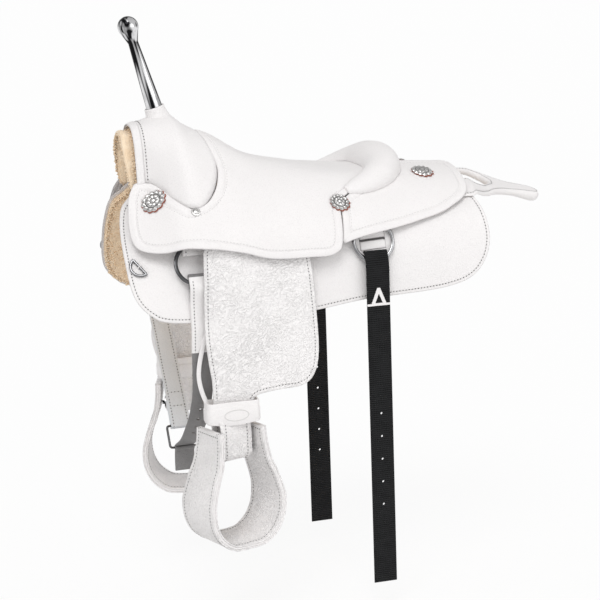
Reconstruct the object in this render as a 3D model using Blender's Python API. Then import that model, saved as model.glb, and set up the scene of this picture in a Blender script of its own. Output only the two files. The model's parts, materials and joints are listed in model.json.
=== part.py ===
"""Trick riding saddle with a steel horn, a rear hand hold, hanging billets and bell stirrups.

+X points to the rear, -Y to the near (left) side, +Z up, in metres. The origin lies on the
centre line between the bars, under the seat, where a stand or a horse's back carries the saddle.
"""
import math

import bmesh
import bpy
import numpy as np
from mathutils import Vector

# Clearances
GAP = 0.0003
RUNNING_GAP = 0.0006
SEAM_GAP = 0.0016
FACET_GAP = 0.0012

# Leather, fleece and wood thicknesses
SKIRT_THICK = 0.0050
JOCKEY_THICK = 0.0045
FORK_COVER_THICK = 0.0032
FENDER_THICK = 0.0045
FLEECE_THICK = 0.0190
STIRRUP_LEATHER_THICK = 0.0070
STIRRUP_LOOP_THICK = 0.0045
BAR_THICK = 0.0200
BAR_EDGE = 0.0120
BAR_END_X = 0.292
BAR_SWELL = 0.0250
FORK_THICK = 0.0120
CANTLE_CORE_THICK = 0.0110
FOAM_THICK = 0.0090
STRAINER_THICK = 0.0025
BINDING_THICK = 0.0020
BINDING_WIDTH = 0.0170
STRAP_PLY = 0.0035

# Surface grid
CELL = 0.036
FORK_CELL = 0.024

# Cross sections: half profiles (y, z) from the centre line outwards, at stations along x
SKIRT_SECTIONS = {
    -0.43: [(0, .150), (.048, .075), (.082, .015), (.120, -.035),
            (.155, -.085), (.182, -.135), (.198, -.19), (.200, -.25)],
    -0.30: [(0, .100), (.055, .065), (.105, .020), (.148, -.025),
            (.180, -.075), (.198, -.13), (.206, -.19), (.208, -.25)],
    -0.05: [(0, .055), (.060, .045), (.115, .018), (.162, -.020),
            (.190, -.065), (.204, -.12), (.208, -.18), (.208, -.25)],
    0.10: [(0, .055), (.065, .048), (.125, .025), (.172, -.008),
           (.197, -.050), (.207, -.11), (.209, -.175), (.209, -.25)],
    0.40: [(0, .060), (.070, .053), (.130, .032), (.172, .000),
           (.196, -.045), (.207, -.105), (.210, -.17), (.210, -.25)],
}
TOP_SECTIONS = {
    -0.42: [(0, .168), (.060, .088), (.094, .028), (.134, -.025), (.168, -.072), (.193, -.12), (.205, -.17)],
    -0.35: [(0, .165), (.070, .105), (.118, .050), (.165, .000), (.196, -.045), (.214, -.09), (.219, -.13)],
    -0.30: [(0, .175), (.075, .130), (.130, .080), (.182, .025), (.216, -.018), (.229, -.06), (.231, -.10)],
    -0.22: [(0, .198), (.065, .175), (.120, .115), (.171, .050), (.215, -.005), (.229, -.055), (.231, -.10)],
    -0.12: [(0, .142), (.060, .133), (.112, .105), (.164, .060), (.213, .003), (.229, -.048), (.231, -.10)],
    -0.03: [(0, .117), (.060, .113), (.112, .098), (.163, .060), (.212, .005), (.229, -.045), (.231, -.10)],
    0.07: [(0, .096), (.060, .098), (.115, .090), (.165, .055), (.205, .010), (.222, -.040), (.226, -.10)],
    0.20: [(0, .097), (.060, .090), (.115, .072), (.160, .038), (.193, -.005), (.210, -.055), (.215, -.11)],
    0.42: [(0, .080), (.060, .073), (.110, .056), (.150, .030), (.180, -.006), (.200, -.050), (.206, -.095)],
}
FORK_SECTIONS = {
    -0.40: [(0, .206), (.028, .198), (.048, .172), (.057, .138), (.063, .100), (.068, .07)],
    -0.35: [(0, .222), (.036, .212), (.060, .182), (.069, .140), (.074, .100), (.080, .06)],
    -0.33: [(0, .229), (.040, .217), (.072, .183), (.087, .138), (.096, .092), (.104, .05)],
    -0.31: [(0, .234), (.045, .221), (.083, .184), (.108, .132), (.129, .074), (.137, .04)],
    -0.28: [(0, .235), (.050, .222), (.097, .185), (.136, .125), (.163, .053), (.168, .02)],
    -0.25: [(0, .212), (.050, .202), (.097, .172), (.135, .122), (.163, .060), (.168, .03)],
    -0.20: [(0, .185), (.042, .180), (.084, .156), (.113, .120), (.138, .080), (.150, .05)],
}
HAND_HOLD_SECTIONS = {
    0.29: [(0, .0625), (.0703, .0557), (.1313, .0345), (.1752, .0005), (.200, -.0445), (.211, -.10)],
    0.36: [(0, .0643), (.0709, .0570), (.1321, .0357), (.1752, .0026), (.200, -.0436), (.211, -.10)],
    0.366: [(0, .0643), (.0709, .0570), (.1321, .0357), (.1752, .0026), (.200, -.0436), (.211, -.10)],
    0.40: [(0, .050), (.050, .046), (.095, .034), (.135, .013), (.170, -.014), (.190, -.04)],
    0.46: [(0, .024), (.040, .023), (.070, .019), (.100, .011), (.130, .001), (.150, -.01)],
    0.52: [(0, .006), (.030, .005), (.050, .002), (.080, -.004), (.110, -.01), (.130, -.02)],
    0.58: [(0, -.012), (.030, -.013), (.050, -.016), (.080, -.02), (.110, -.03), (.130, -.04)],
}

# Fender and stirrup leather, hanging outside the skirt
FENDER_SIDE = [(.199, -.008), (.2025, -.020), (.2085, -.045), (.2180, -.090), (.22125, -.130), (.22125, -.40)]
FENDER_TOP_Z = -0.020
FENDER_NECK_Z = -0.366
LEATHER_X = -0.210
LEATHER_WIDTH = 0.060
LEATHER_LOW_X = -0.226
LEATHER_TOP_Z = -0.004
HOBBLE_Z = -0.3765
HOBBLE_WIDTH = 0.052
PIVOT_Y = 0.184
PIVOT_Z = -0.012
RIVET_RADIUS = 0.004

# Stirrup
STIRRUP_TURN = math.radians(18)
BOLT_Y = 0.215
BOLT_Z = -0.460
SPOOL_RADIUS = 0.0148
BOLT_RADIUS = 0.0045
SPOOL_GAP = 0.0009
SPOOL_HALF = 0.0410
LOOP_WIDTH = 0.076
NECK_HALF = 0.0585
STIRRUP_HALF = 0.094
STIRRUP_BAND = 0.012
STIRRUP_TOP = 0.052
STIRRUP_WIDEST = -0.106
STIRRUP_DROP = 0.202
STIRRUP_FLAT_HALF = 0.030
STIRRUP_NECK_DEPTH = 0.090
STIRRUP_TREAD_DEPTH = 0.120

# Horn
HORN_BASE = (-0.3055, 0.0, 0.2385)
HORN_ROOT = 0.0180
HORN_LEAN = math.radians(15.5)
HORN_BASE_RADIUS = 0.0180
HORN_NECK_RADIUS = 0.0108
HORN_NECK_HEIGHT = 0.1500
HORN_BALL_RADIUS = 0.0226
HORN_BALL_HEIGHT = 0.1880
COLLAR_WIDTH = 0.0035
COLLAR_HEIGHT = 0.0110

# Rings and straps
RING_RADIUS = 0.0435
RING_BAR = 0.0042
RING_BAR_FLAT = 0.0025
FRONT_RING_FLAT = 0.0017
REAR_RING_X = 0.105
REAR_RING_S = 0.232
FRONT_RING_X = -0.278
FRONT_RING_S = 0.243
BILLET_WIDTH = 0.052
BILLET_END_Z = -0.795
CINCH_WIDTH = 0.044
CINCH_SWAY = 0.030
HOLE_RADIUS = 0.0026

# Silver rosettes
ROSETTE_RADIUS = 0.0255
ROSETTE_SMALL_RADIUS = 0.0225
ROSETTE_LOBES = 14
ROSETTE_THICK = 0.0050


# Cubic interpolation through values at stations
def smooth_value(stations, values, x):
    x = min(max(x, stations[0]), stations[-1])
    last = len(stations) - 2
    i = max(0, min(last, int(np.searchsorted(stations, x, side="right")) - 1))

    def slope(k):
        low, high = max(k - 1, 0), min(k + 1, last + 1)
        return (values[high] - values[low]) / (stations[high] - stations[low])

    span = stations[i + 1] - stations[i]
    t = (x - stations[i]) / span
    start = (2 * t**3 - 3 * t**2 + 1) * values[i] + (t**3 - 2 * t**2 + t) * span * slope(i)
    end = (3 * t**2 - 2 * t**3) * values[i + 1] + (t**3 - t**2) * span * slope(i + 1)
    return start + end


def spline(points, steps):
    """Points of a smooth curve that passes through the given ones."""
    pts = [np.array(p, float) for p in points]
    ext = [2 * pts[0] - pts[1]] + pts + [2 * pts[-1] - pts[-2]]
    out = []
    for a, b, c, d in zip(ext, ext[1:], ext[2:], ext[3:]):
        for k in range(steps):
            t = k / steps
            out.append(0.5 * (2 * b + (c - a) * t + (2 * a - 5 * b + 4 * c - d) * t**2
                              + (3 * b - a - 3 * c + d) * t**3))
    out.append(pts[-1])
    return out


def ramp(value, start, end):
    """0 before start, 1 after end, straight between."""
    return min(max((value - start) / (end - start), 0.0), 1.0)


class Shell:
    """A curved sheet given by half profiles at stations along x, walked by x and arc length s."""

    def __init__(self, sections, cell=CELL):
        self.stations = sorted(sections)
        self.profiles = np.array([sections[x] for x in self.stations], float)
        self.cell = cell
        self.cache = {}
        self.nodes = {}

    def profile(self, x):
        key = round(x, 6)
        if key not in self.cache:
            count = self.profiles.shape[1]
            ctrl = [[smooth_value(self.stations, self.profiles[:, k, axis], x) for axis in (0, 1)]
                    for k in range(count)]
            curve = np.array(spline(ctrl, 12))
            arc = np.concatenate([[0], np.cumsum(np.linalg.norm(np.diff(curve, axis=0), axis=1))])
            self.cache[key] = (curve, arc)
        return self.cache[key]

    def flat(self, x, s):
        curve, arc = self.profile(x)
        if s > arc[-1]:
            run = (curve[-1] - curve[-2]) / (arc[-1] - arc[-2])
            y, z = curve[-1] + run * (s - arc[-1])
            return np.array([x, y, z])
        return np.array([x, np.interp(s, arc, curve[:, 0]), np.interp(s, arc, curve[:, 1])])

    def normal(self, x, s):
        step = 0.004
        low = max(s - step, 0.0)
        if s < step:
            low, high = 0.0, step
            along_s = self.flat(x, high) - self.flat(x, low)
            along_s[2] = 0.0 if s == 0 else along_s[2]
        else:
            along_s = self.flat(x, s + step) - self.flat(x, low)
        along_x = self.flat(x + step, s) - self.flat(x - step, s)
        n = np.cross(along_x, along_s)
        n = n / np.linalg.norm(n)
        if s == 0:
            n[1] = 0.0
            n = n / np.linalg.norm(n)
        return n

    def point(self, x, s, t=0.0):
        return self.flat(x, s) + t * self.normal(x, s)

    def y_at(self, x, z):
        curve, _ = self.profile(x)
        return float(np.interp(-z, -curve[:, 1], curve[:, 0]))

    def s_at(self, x, z):
        curve, arc = self.profile(x)
        return float(np.interp(-z, -curve[:, 1], arc))

    def node(self, i, j, depth):
        key = (i, j)
        if key not in self.nodes:
            x, s = i * self.cell, j * self.cell
            self.nodes[key] = (self.flat(x, s), self.normal(x, s))
        place, normal = self.nodes[key]
        amount = depth(i * self.cell, j * self.cell) if callable(depth) else depth
        return place + amount * normal

    def facet(self, x, s, depth):
        """The point at (x, s) on the flat triangle of the grid that holds it."""
        u, v = x / self.cell, s / self.cell
        i, j = math.floor(u + 1e-9), math.floor(v + 1e-9)
        a, b = u - i, v - j
        if a + b <= 1:
            base = self.node(i, j, depth)
            step_x = self.node(i + 1, j, depth) - base
            step_s = self.node(i, j + 1, depth) - base
            return base + a * step_x + b * step_s
        base = self.node(i + 1, j + 1, depth)
        step_x = self.node(i, j + 1, depth) - base
        step_s = self.node(i + 1, j, depth) - base
        return base + (1 - a) * step_x + (1 - b) * step_s


SKIRT = Shell(SKIRT_SECTIONS)
TOP = Shell(TOP_SECTIONS)
FORK = Shell(FORK_SECTIONS, FORK_CELL)
HAND_HOLD = Shell(HAND_HOLD_SECTIONS, 0.03)
FENDER = Shell({-0.5: FENDER_SIDE, 0.2: FENDER_SIDE})


# Materials
def material(name, colour, roughness, metallic=0.0):
    mat = bpy.data.materials.get(name)
    if mat is None:
        mat = bpy.data.materials.new(name)
        mat.use_nodes = True
        shader = mat.node_tree.nodes["Principled BSDF"]
        shader.inputs["Base Color"].default_value = (*colour, 1.0)
        shader.inputs["Roughness"].default_value = roughness
        shader.inputs["Metallic"].default_value = metallic
    return mat


WHITE_LEATHER = ("white_leather", (0.86, 0.85, 0.84), 0.55)
FLEECE = ("fleece", (0.80, 0.62, 0.44), 0.95)
WOOD = ("tree_wood", (0.55, 0.40, 0.25), 0.60)
FOAM = ("seat_foam", (0.75, 0.70, 0.55), 0.90)
STEEL = ("polished_steel", (0.42, 0.42, 0.43), 0.18, 1.0)
DARK_STEEL = ("dark_steel", (0.12, 0.12, 0.13), 0.30, 1.0)
CHROME = ("chrome", (0.75, 0.75, 0.76), 0.12, 1.0)
SILVER = ("silver_rosette", (0.72, 0.70, 0.68), 0.25, 1.0)
NYLON = ("black_nylon", (0.015, 0.015, 0.016), 0.75)
WEBBING = ("grey_webbing", (0.38, 0.38, 0.38), 0.80)


# Bodies
def add_body(name, verts, faces, mat, side=1, origin=(0.0, 0.0, 0.0), smooth=35):
    """One named object; side -1 mirrors it to the near side. Its origin is the given world point."""
    pts = [np.array(v, float) * (1, side, 1) for v in verts]
    if side < 0:
        faces = [tuple(reversed(f)) for f in faces]
    start = np.array(origin, float) * (1, side, 1)
    mesh = bpy.data.meshes.new(name)
    mesh.from_pydata([tuple(p - start) for p in pts], [], [tuple(f) for f in faces])
    mesh.validate()
    mesh.shade_smooth()
    mesh.set_sharp_from_angle(angle=math.radians(smooth))
    obj = bpy.data.objects.new(name, mesh)
    obj.location = Vector(start)
    bpy.context.scene.collection.objects.link(obj)
    mesh.materials.append(material(*mat))
    return obj


def sheet(shell, outline, inner, outer, full=False):
    """A closed leather panel: the outline (x, s) laid on a shell between two depths.

    With full=True the outline's stretch on the centre line is welded to its mirror image.
    """
    bm = bmesh.new()
    bm.faces.new([bm.verts.new((x, s, 0)) for x, s in outline])
    bm.normal_update()
    if next(iter(bm.faces)).normal.z < 0:
        bmesh.ops.reverse_faces(bm, faces=bm.faces[:])
    cell = shell.cell
    xs = [v.co.x for v in bm.verts]
    ss = [v.co.y for v in bm.verts]
    first, last = math.floor(min(xs) / cell), math.ceil(max(xs) / cell)
    cuts = [((i * cell, 0, 0), (1, 0, 0)) for i in range(first, last + 1)]
    cuts += [((0, j * cell, 0), (0, 1, 0)) for j in range(0, math.ceil(max(ss) / cell) + 1)]
    low = math.floor((min(xs) + min(ss)) / cell)
    high = math.ceil((max(xs) + max(ss)) / cell)
    cuts += [((k * cell, 0, 0), (1, 1, 0)) for k in range(low, high + 1)]
    for place, direction in cuts:
        everything = bm.verts[:] + bm.edges[:] + bm.faces[:]
        bmesh.ops.bisect_plane(bm, geom=everything, dist=2e-5, plane_co=place, plane_no=direction)
    bmesh.ops.triangulate(bm, faces=bm.faces[:])
    bm.verts.index_update()
    flat = [(v.co.x, max(v.co.y, 0.0)) for v in bm.verts]
    tris = [tuple(v.index for v in f.verts) for f in bm.faces]
    walls = []
    for edge in bm.edges:
        if len(edge.link_faces) != 1:
            continue
        a, b = edge.verts[0].index, edge.verts[1].index
        order = [v.index for v in edge.link_faces[0].verts]
        if order[(order.index(a) + 1) % 3] != b:
            a, b = b, a
        walls.append((a, b))
    bm.free()
    count = len(flat)
    verts = [shell.facet(x, s, outer) for x, s in flat] + [shell.facet(x, s, inner) for x, s in flat]
    faces = list(tris) + [(c + count, b + count, a + count) for a, b, c in tris]
    for a, b in walls:
        if full and flat[a][1] < 1e-6 and flat[b][1] < 1e-6:
            continue
        faces += [(b, a, a + count), (b, a + count, b + count)]
    if full:
        verts, faces = weld_mirror(verts, faces)
    return verts, faces


def weld_mirror(verts, faces):
    """Adds the mirror image across the centre plane and shares the vertices that lie on it."""
    out = [np.array(v, float) for v in verts]
    twin = {}
    for k, v in enumerate(list(out)):
        if abs(v[1]) < 1e-6:
            v[1] = 0.0
            twin[k] = k
        else:
            twin[k] = len(out)
            out.append(v * (1, -1, 1))
    return out, list(faces) + [tuple(twin[k] for k in reversed(f)) for f in faces]


def skin(rings, closed=False):
    """Faces over a row of rings with equal counts, capped at both ends unless closed."""
    verts = [p for ring in rings for p in ring]
    size = len(rings[0])
    faces = []
    spans = len(rings) if closed else len(rings) - 1
    for i in range(spans):
        here, there = i * size, ((i + 1) % len(rings)) * size
        for k in range(size):
            n = (k + 1) % size
            faces.append((here + k, here + n, there + n, there + k))
    if not closed:
        faces.append(tuple(reversed(range(size))))
        faces.append(tuple((len(rings) - 1) * size + k for k in range(size)))
    return verts, faces


def outward(verts, faces):
    """The same faces, turned so that the solid's volume is positive."""
    volume = 0.0
    for f in faces:
        a = np.array(verts[f[0]], float)
        for b, c in zip(f[1:], f[2:]):
            volume += np.dot(a, np.cross(verts[b], verts[c]))
    return (verts, faces) if volume > 0 else (verts, [tuple(reversed(f)) for f in faces])


def unit(v):
    v = np.array(v, float)
    return v / np.linalg.norm(v)


def ribbon(path, across, width, thick, closed=False):
    """A flat strap along a path: width lies along across, thickness square to both."""
    pts = [np.array(p, float) for p in path]
    count = len(pts)
    across = [unit(across)] * count if np.ndim(across) == 1 else [unit(a) for a in across]
    widths = [width] * count if np.isscalar(width) else list(width)
    thicks = [thick] * count if np.isscalar(thick) else list(thick)
    rings = []
    for k, p in enumerate(pts):
        back = pts[(k - 1) % count] if closed or k > 0 else p
        ahead = pts[(k + 1) % count] if closed or k < count - 1 else p
        d_in = unit(p - back) if np.linalg.norm(p - back) > 0 else unit(ahead - p)
        d_out = unit(ahead - p) if np.linalg.norm(ahead - p) > 0 else d_in
        along = unit(d_in + d_out)
        face = unit(np.cross(along, across[k]))
        stretch = 1.0 / max(0.6, float(np.dot(along, d_in)))
        w, h = across[k] * widths[k] / 2, face * thicks[k] / 2 * stretch
        rings.append([p - w - h, p + w - h, p + w + h, p - w + h])
    return outward(*skin(rings, closed))


def tube(path, radius, sides=8, closed=False, flat=None, flat_axis=None):
    """A round bar along a path; flat and flat_axis squash it along one direction."""
    pts = [np.array(p, float) for p in path]
    count = len(pts)
    guide = unit(flat_axis) if flat_axis is not None else None
    rings = []
    for k, p in enumerate(pts):
        back = pts[(k - 1) % count] if closed or k > 0 else p
        ahead = pts[(k + 1) % count] if closed or k < count - 1 else p
        along = unit(ahead - back)
        up = guide if guide is not None else np.array([0.0, 0.0, 1.0])
        if abs(np.dot(up, along)) > 0.95:
            up = np.array([0.0, 1.0, 0.0])
        side = unit(np.cross(up, along))
        up = np.cross(along, side)
        high = radius if flat is None else flat
        ring = []
        for n in range(sides):
            a = 2 * math.pi * (n + 0.5) / sides
            ring.append(p + side * radius * math.cos(a) + up * high * math.sin(a))
        rings.append(ring)
    return outward(*skin(rings, closed))


def turned(profile, base, axis, sides):
    """A solid turned about an axis from a profile of (radius, height) points."""
    axis = unit(axis)
    helper = np.array([0.0, 1.0, 0.0]) if abs(axis[1]) < 0.9 else np.array([1.0, 0.0, 0.0])
    u = unit(np.cross(helper, axis))
    v = np.cross(axis, u)
    rings = []
    for radius, height in profile:
        ring = []
        for n in range(sides):
            a = 2 * math.pi * n / sides
            ring.append(np.array(base, float) + axis * height + radius * (u * math.cos(a) + v * math.sin(a)))
        rings.append(ring)
    return outward(*skin(rings))


def joined(bodies):
    """Several separate solids as one list of vertices and faces."""
    verts, faces = [], []
    for v, f in bodies:
        start = len(verts)
        verts += list(v)
        faces += [tuple(k + start for k in face) for face in f]
    return verts, faces


def cutter(name, verts, faces, target):
    obj = add_body(name, verts, faces, STEEL)
    obj.hide_render = True
    obj.display_type = "WIRE"
    mod = target.modifiers.new(name, "BOOLEAN")
    mod.object = obj
    mod.operation = "DIFFERENCE"
    return obj


SIDES = (("near", -1), ("off", 1))

# Outlines on the shells, as (x, s)
SKIRT_OUTLINE = (
    [(-.366, .045)]
    + spline([(-.383, .078), (-.405, .112), (-.415, .160), (-.418, .215), (-.416, .290), (-.405, .330),
              (-.379, .354), (-.340, .364), (-.200, .360), (.000, .353), (.200, .353), (.285, .346),
              (.330, .330), (.358, .300), (.372, .262), (.373, .216), (.364, .160), (.350, .110)], 2)
    + [(.336, .060), (.330, .040)]
)
FLEECE_OUTLINE = (
    [(-.362, .049)]
    + spline([(-.380, .080), (-.401, .114), (-.411, .160), (-.412, .215), (-.403, .270), (-.380, .312),
              (-.345, .340), (-.200, .346), (.000, .340), (.200, .340), (.280, .333),
              (.320, .318), (.346, .292), (.359, .260), (.360, .216), (.351, .160), (.338, .110)], 2)
    + [(.326, .060), (.322, .044)]
)
SEAT_EDGE_UNDER_CANTLE = [(.041, .195), (.060, .178), (.110, .142), (.160, .095), (.190, .045), (.198, .0)]
SEAT_OUTLINE = (
    [(-.223, .0)]
    + spline([(-.222, .027), (-.213, .081), (-.205, .124), (-.207, .152), (-.218, .187), (-.238, .214),
              (-.260, .220), (-.279, .212), (-.305, .174), (-.321, .139), (-.338, .109), (-.349, .100)], 2)
    + [(-.366, .092)]
    + spline([(-.376, .094), (-.390, .120), (-.397, .153), (-.402, .200), (-.399, .232), (-.386, .253),
              (-.350, .274), (-.300, .297), (-.251, .323), (-.213, .334), (-.169, .331), (-.040, .322),
              (-.004, .320), (.018, .311), (.030, .292), (.037, .222)], 2)
    + SEAT_EDGE_UNDER_CANTLE
)
REAR_JOCKEY_OUTLINE = (
    [(x + SEAM_GAP, s + SEAM_GAP) for x, s in reversed(SEAT_EDGE_UNDER_CANTLE)]
    + [(.0387, .222), (.0317, .288), (.036, .293)]
    + spline([(.060, .284), (.140, .257), (.205, .235), (.267, .213), (.302, .193), (.332, .170),
              (.347, .142), (.351, .100), (.353, .047), (.355, .012)], 2)
    + [(.352, SEAM_GAP)]
)
FORK_COVER_OUTLINE = (
    [(-.368, .0), (-.368, .144)]
    + spline([(-.360, .147), (-.349, .152), (-.338, .161), (-.321, .189), (-.305, .221), (-.292, .241),
              (-.279, .251), (-.262, .244), (-.243, .218), (-.225, .181), (-.215, .147), (-.213, .120),
              (-.219, .079), (-.228, .027)], 2)
    + [(-.229, .0)]
)
TREE_FORK_OUTLINE = [(-.360, .0), (-.360, .125), (-.330, .148), (-.306, .196), (-.301, .236), (-.298, .276),
                     (-.270, .276), (-.262, .236), (-.240, .190), (-.232, .140), (-.232, .090), (-.240, .0)]
GULLET_FLEECE_OUTLINE = [(-.392, .0), (-.394, .060), (-.388, .100), (-.378, .124), (-.340, .124),
                         (-.330, .110), (-.330, .0)]
BAR_OUTLINE = (
    spline([(-.345, .075), (-.345, .120), (-.325, .158), (-.250, .168), (.000, .164), (.150, .166),
            (.265, .160)], 2)
    + [(BAR_END_X, .152), (BAR_END_X, .080)]
    + spline([(.270, .056), (.100, .052), (-.150, .052), (-.300, .056)], 2)
)
FOAM_OUTLINE = [(-.205, .0), (-.200, .060), (-.180, .115), (-.100, .135), (.030, .135), (.090, .105),
                (.112, .060), (.114, .0)]
CANTLE_CORE_OUTLINE = [(.122, .0), (.120, .062), (.098, .110), (.080, .150), (.130, .150), (.180, .100),
                       (.214, .050), (.218, .0)]
FENDER_OUTLINE = (
    [(-.262, FENDER_TOP_Z)]
    + spline([(-.268, -.035), (-.274, -.120), (-.276, -.203), (-.270, -.270), (-.265, -.310),
              (-.265, FENDER_NECK_Z)], 2)
    + [(-.180, FENDER_NECK_Z)]
    + spline([(-.179, -.356), (-.165, -.344), (-.120, -.338), (-.069, -.334), (-.042, -.313),
              (-.030, -.263), (-.033, -.167), (-.040, -.060)], 2)
    + [(-.048, FENDER_TOP_Z)]
)


# Tree: bars, fork and cantle
def bar_thickness(x, s):
    rear = ramp(x, 0.16, 0.28)
    edge = ramp(s, 0.11, 0.17)
    under_fork = -0.300 < x < -0.260 and 0.10 < s < 0.16
    return BAR_THICK - 0.004 * rear - (BAR_THICK - BAR_EDGE) * edge + (BAR_SWELL if under_fork else 0.0)


def loop_recess(x, s):
    """The bar's underside is relieved where the stirrup leather passes below it."""
    near_leather = abs(x - LEATHER_X) < LEATHER_WIDTH / 2 + CELL
    return GAP + (0.0078 if near_leather and s > 0.05 else 0.0)


def leather_slot(x):
    """The slot through the bar that the stirrup leather passes."""
    centre = SKIRT.point(x, 0.100, 0.010)
    normal = SKIRT.normal(x, 0.100)
    down = unit(np.cross(normal, (-1.0, 0.0, 0.0)))
    half_slot = 0.0055
    half_long = LEATHER_WIDTH / 2 + 0.004
    rings = []
    for depth in (-0.030, 0.030):
        c = centre + normal * depth
        rings.append([c + np.array([a * half_long, 0, 0]) + down * b * half_slot
                      for a, b in ((-1, -1), (1, -1), (1, 1), (-1, 1))])
    return outward(*skin(rings))


def grown(outline, amount):
    """The outline moved outwards by an amount."""
    pts = [np.array(p, float) for p in outline]
    turn = sum(a[0] * b[1] - a[1] * b[0] for a, b in zip(pts, pts[1:] + pts[:1]))
    out = []
    for k, p in enumerate(pts):
        along = unit(unit(p - pts[k - 1]) + unit(pts[(k + 1) % len(pts)] - p))
        away = np.array([along[1], -along[0]]) * math.copysign(1.0, turn)
        out.append((p[0] + away[0] * amount, max(p[1] + away[1] * amount, 0.0)))
    return out


def build_tree():
    fork_top = -FORK_COVER_THICK - GAP
    fork_low = fork_top - FORK_THICK

    def leg_face(x, s):
        """The legs step back under the seat leather, below the fork cover's edge."""
        return fork_top - 0.006 * ramp(s, 0.19, 0.23)

    fork = add_body("tree_fork", *sheet(FORK, TREE_FORK_OUTLINE, fork_low, leg_face, full=True), WOOD)
    socket = sheet(FORK, grown(TREE_FORK_OUTLINE, GAP), fork_low - GAP, fork_top + GAP, full=True)
    for label, side in SIDES:
        bar_body = sheet(SKIRT, BAR_OUTLINE, loop_recess, bar_thickness)
        bar = add_body(f"tree_bar_{label}", *bar_body, WOOD, side)
        slot, faces = leather_slot(LEATHER_X)
        if side < 0:
            slot, faces = [p * (1, -1, 1) for p in slot], [tuple(reversed(f)) for f in faces]
        cutter(f"leather_slot_cutter_{label}", slot, faces, bar)
        cutter(f"fork_socket_cutter_{label}", *socket, bar)
    cutter("horn_hole_cutter", *horn_hole(), fork)
    under = -JOCKEY_THICK - GAP
    core = sheet(TOP, CANTLE_CORE_OUTLINE, under - CANTLE_CORE_THICK, under, full=True)
    add_body("tree_cantle", *core, WOOD)
    add_body("seat_foam", *sheet(TOP, FOAM_OUTLINE, under - FOAM_THICK, under, full=True), FOAM)
    low = under - FOAM_THICK - GAP
    add_body("seat_strainer", *sheet(TOP, FOAM_OUTLINE, low - STRAINER_THICK, low, full=True), STEEL)


# Skirts and fleece
def build_skirts():
    fleece_top = -SKIRT_THICK - GAP
    for label, side in SIDES:
        add_body(f"skirt_{label}", *sheet(SKIRT, SKIRT_OUTLINE, -SKIRT_THICK, 0.0), WHITE_LEATHER, side)
        add_body(f"fleece_{label}", *sheet(SKIRT, FLEECE_OUTLINE, fleece_top - FLEECE_THICK, fleece_top),
                 FLEECE, side)


# Seat, jockeys, fork cover and its binding
def build_covers():
    add_body("seat_leather", *sheet(TOP, SEAT_OUTLINE, -JOCKEY_THICK, 0.0, full=True), WHITE_LEATHER)
    for label, side in SIDES:
        add_body(f"rear_jockey_{label}", *sheet(TOP, REAR_JOCKEY_OUTLINE, -JOCKEY_THICK, 0.0),
                 WHITE_LEATHER, side)
    cover = sheet(FORK, FORK_COVER_OUTLINE, -FORK_COVER_THICK, 0.0, full=True)
    cover = add_body("fork_cover", *cover, WHITE_LEATHER)
    cutter("cover_horn_hole_cutter", *horn_hole(), cover)
    binding = [(-.3685, .0), (-.3685, .143), (-.3685 + BINDING_WIDTH, .148), (-.3685 + BINDING_WIDTH, .0)]
    add_body("gullet_binding", *sheet(FORK, binding, GAP, GAP + BINDING_THICK, full=True), WHITE_LEATHER)
    fleece_top = -FORK_COVER_THICK - FORK_THICK - 3 * GAP

    def lining_top(x, s):
        return fleece_top + 0.012 * ramp(-x, 0.366, 0.384)

    add_body("gullet_fleece", *sheet(FORK, GULLET_FLEECE_OUTLINE, fleece_top - 0.009, lining_top, full=True),
             FLEECE)


# Cantle roll: a padded arch over the back of the seat
CANTLE_PATH = [(.062, .168), (.085, .158), (.118, .140), (.150, .112),
               (.172, .075), (.180, .038), (.182, .0)]
CANTLE_HALF_WIDTH = (.006, .018, .027, .037, .046, .050, .052)
CANTLE_HEIGHT = (.004, .012, .022, .033, .041, .045, .046)


def build_cantle():
    rows = [(*p, w, h) for p, w, h in zip(CANTLE_PATH, CANTLE_HALF_WIDTH, CANTLE_HEIGHT)]
    rows = spline(rows, 2)
    arch = [math.pi * k / 8 for k in range(9)]
    rings = []
    for k, (x, s, half, height) in enumerate(rows):
        ahead = rows[min(k + 1, len(rows) - 1)]
        back = rows[max(k - 1, 0)]
        along = unit((ahead[0] - back[0], ahead[1] - back[1]))
        if k == len(rows) - 1:
            along = np.array([0.0, -1.0])
        out = (along[1] * -1, along[0])
        ring = []
        for a in arch:
            w = half * math.cos(a)
            ring.append((x + out[0] * w, s + out[1] * w, FACET_GAP + height * math.sin(a)))
        for a in (-0.5, 0.0, 0.5):
            ring.append((x + out[0] * half * a, s + out[1] * half * a, FACET_GAP))
        rings.append([TOP.point(px, abs(ps), pt) * (1, 1 if ps >= 0 else -1, 1) for px, ps, pt in ring])
    for p in rings[-1]:
        p[1] = 0.0
    mirrored = [[p * (1, -1, 1) for p in ring] for ring in reversed(rings[:-1])]
    add_body("cantle_roll", *outward(*skin(rings + mirrored)), WHITE_LEATHER, smooth=60)


# Horn and its collar
HORN_AXIS = np.array([-math.sin(HORN_LEAN), 0.0, math.cos(HORN_LEAN)])
HORN_SIDES = 20


def horn_hole():
    profile = [(HORN_BASE_RADIUS + GAP, -HORN_ROOT - 0.02), (HORN_BASE_RADIUS + GAP, 0.012)]
    return turned(profile, HORN_BASE, HORN_AXIS, HORN_SIDES)


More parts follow.
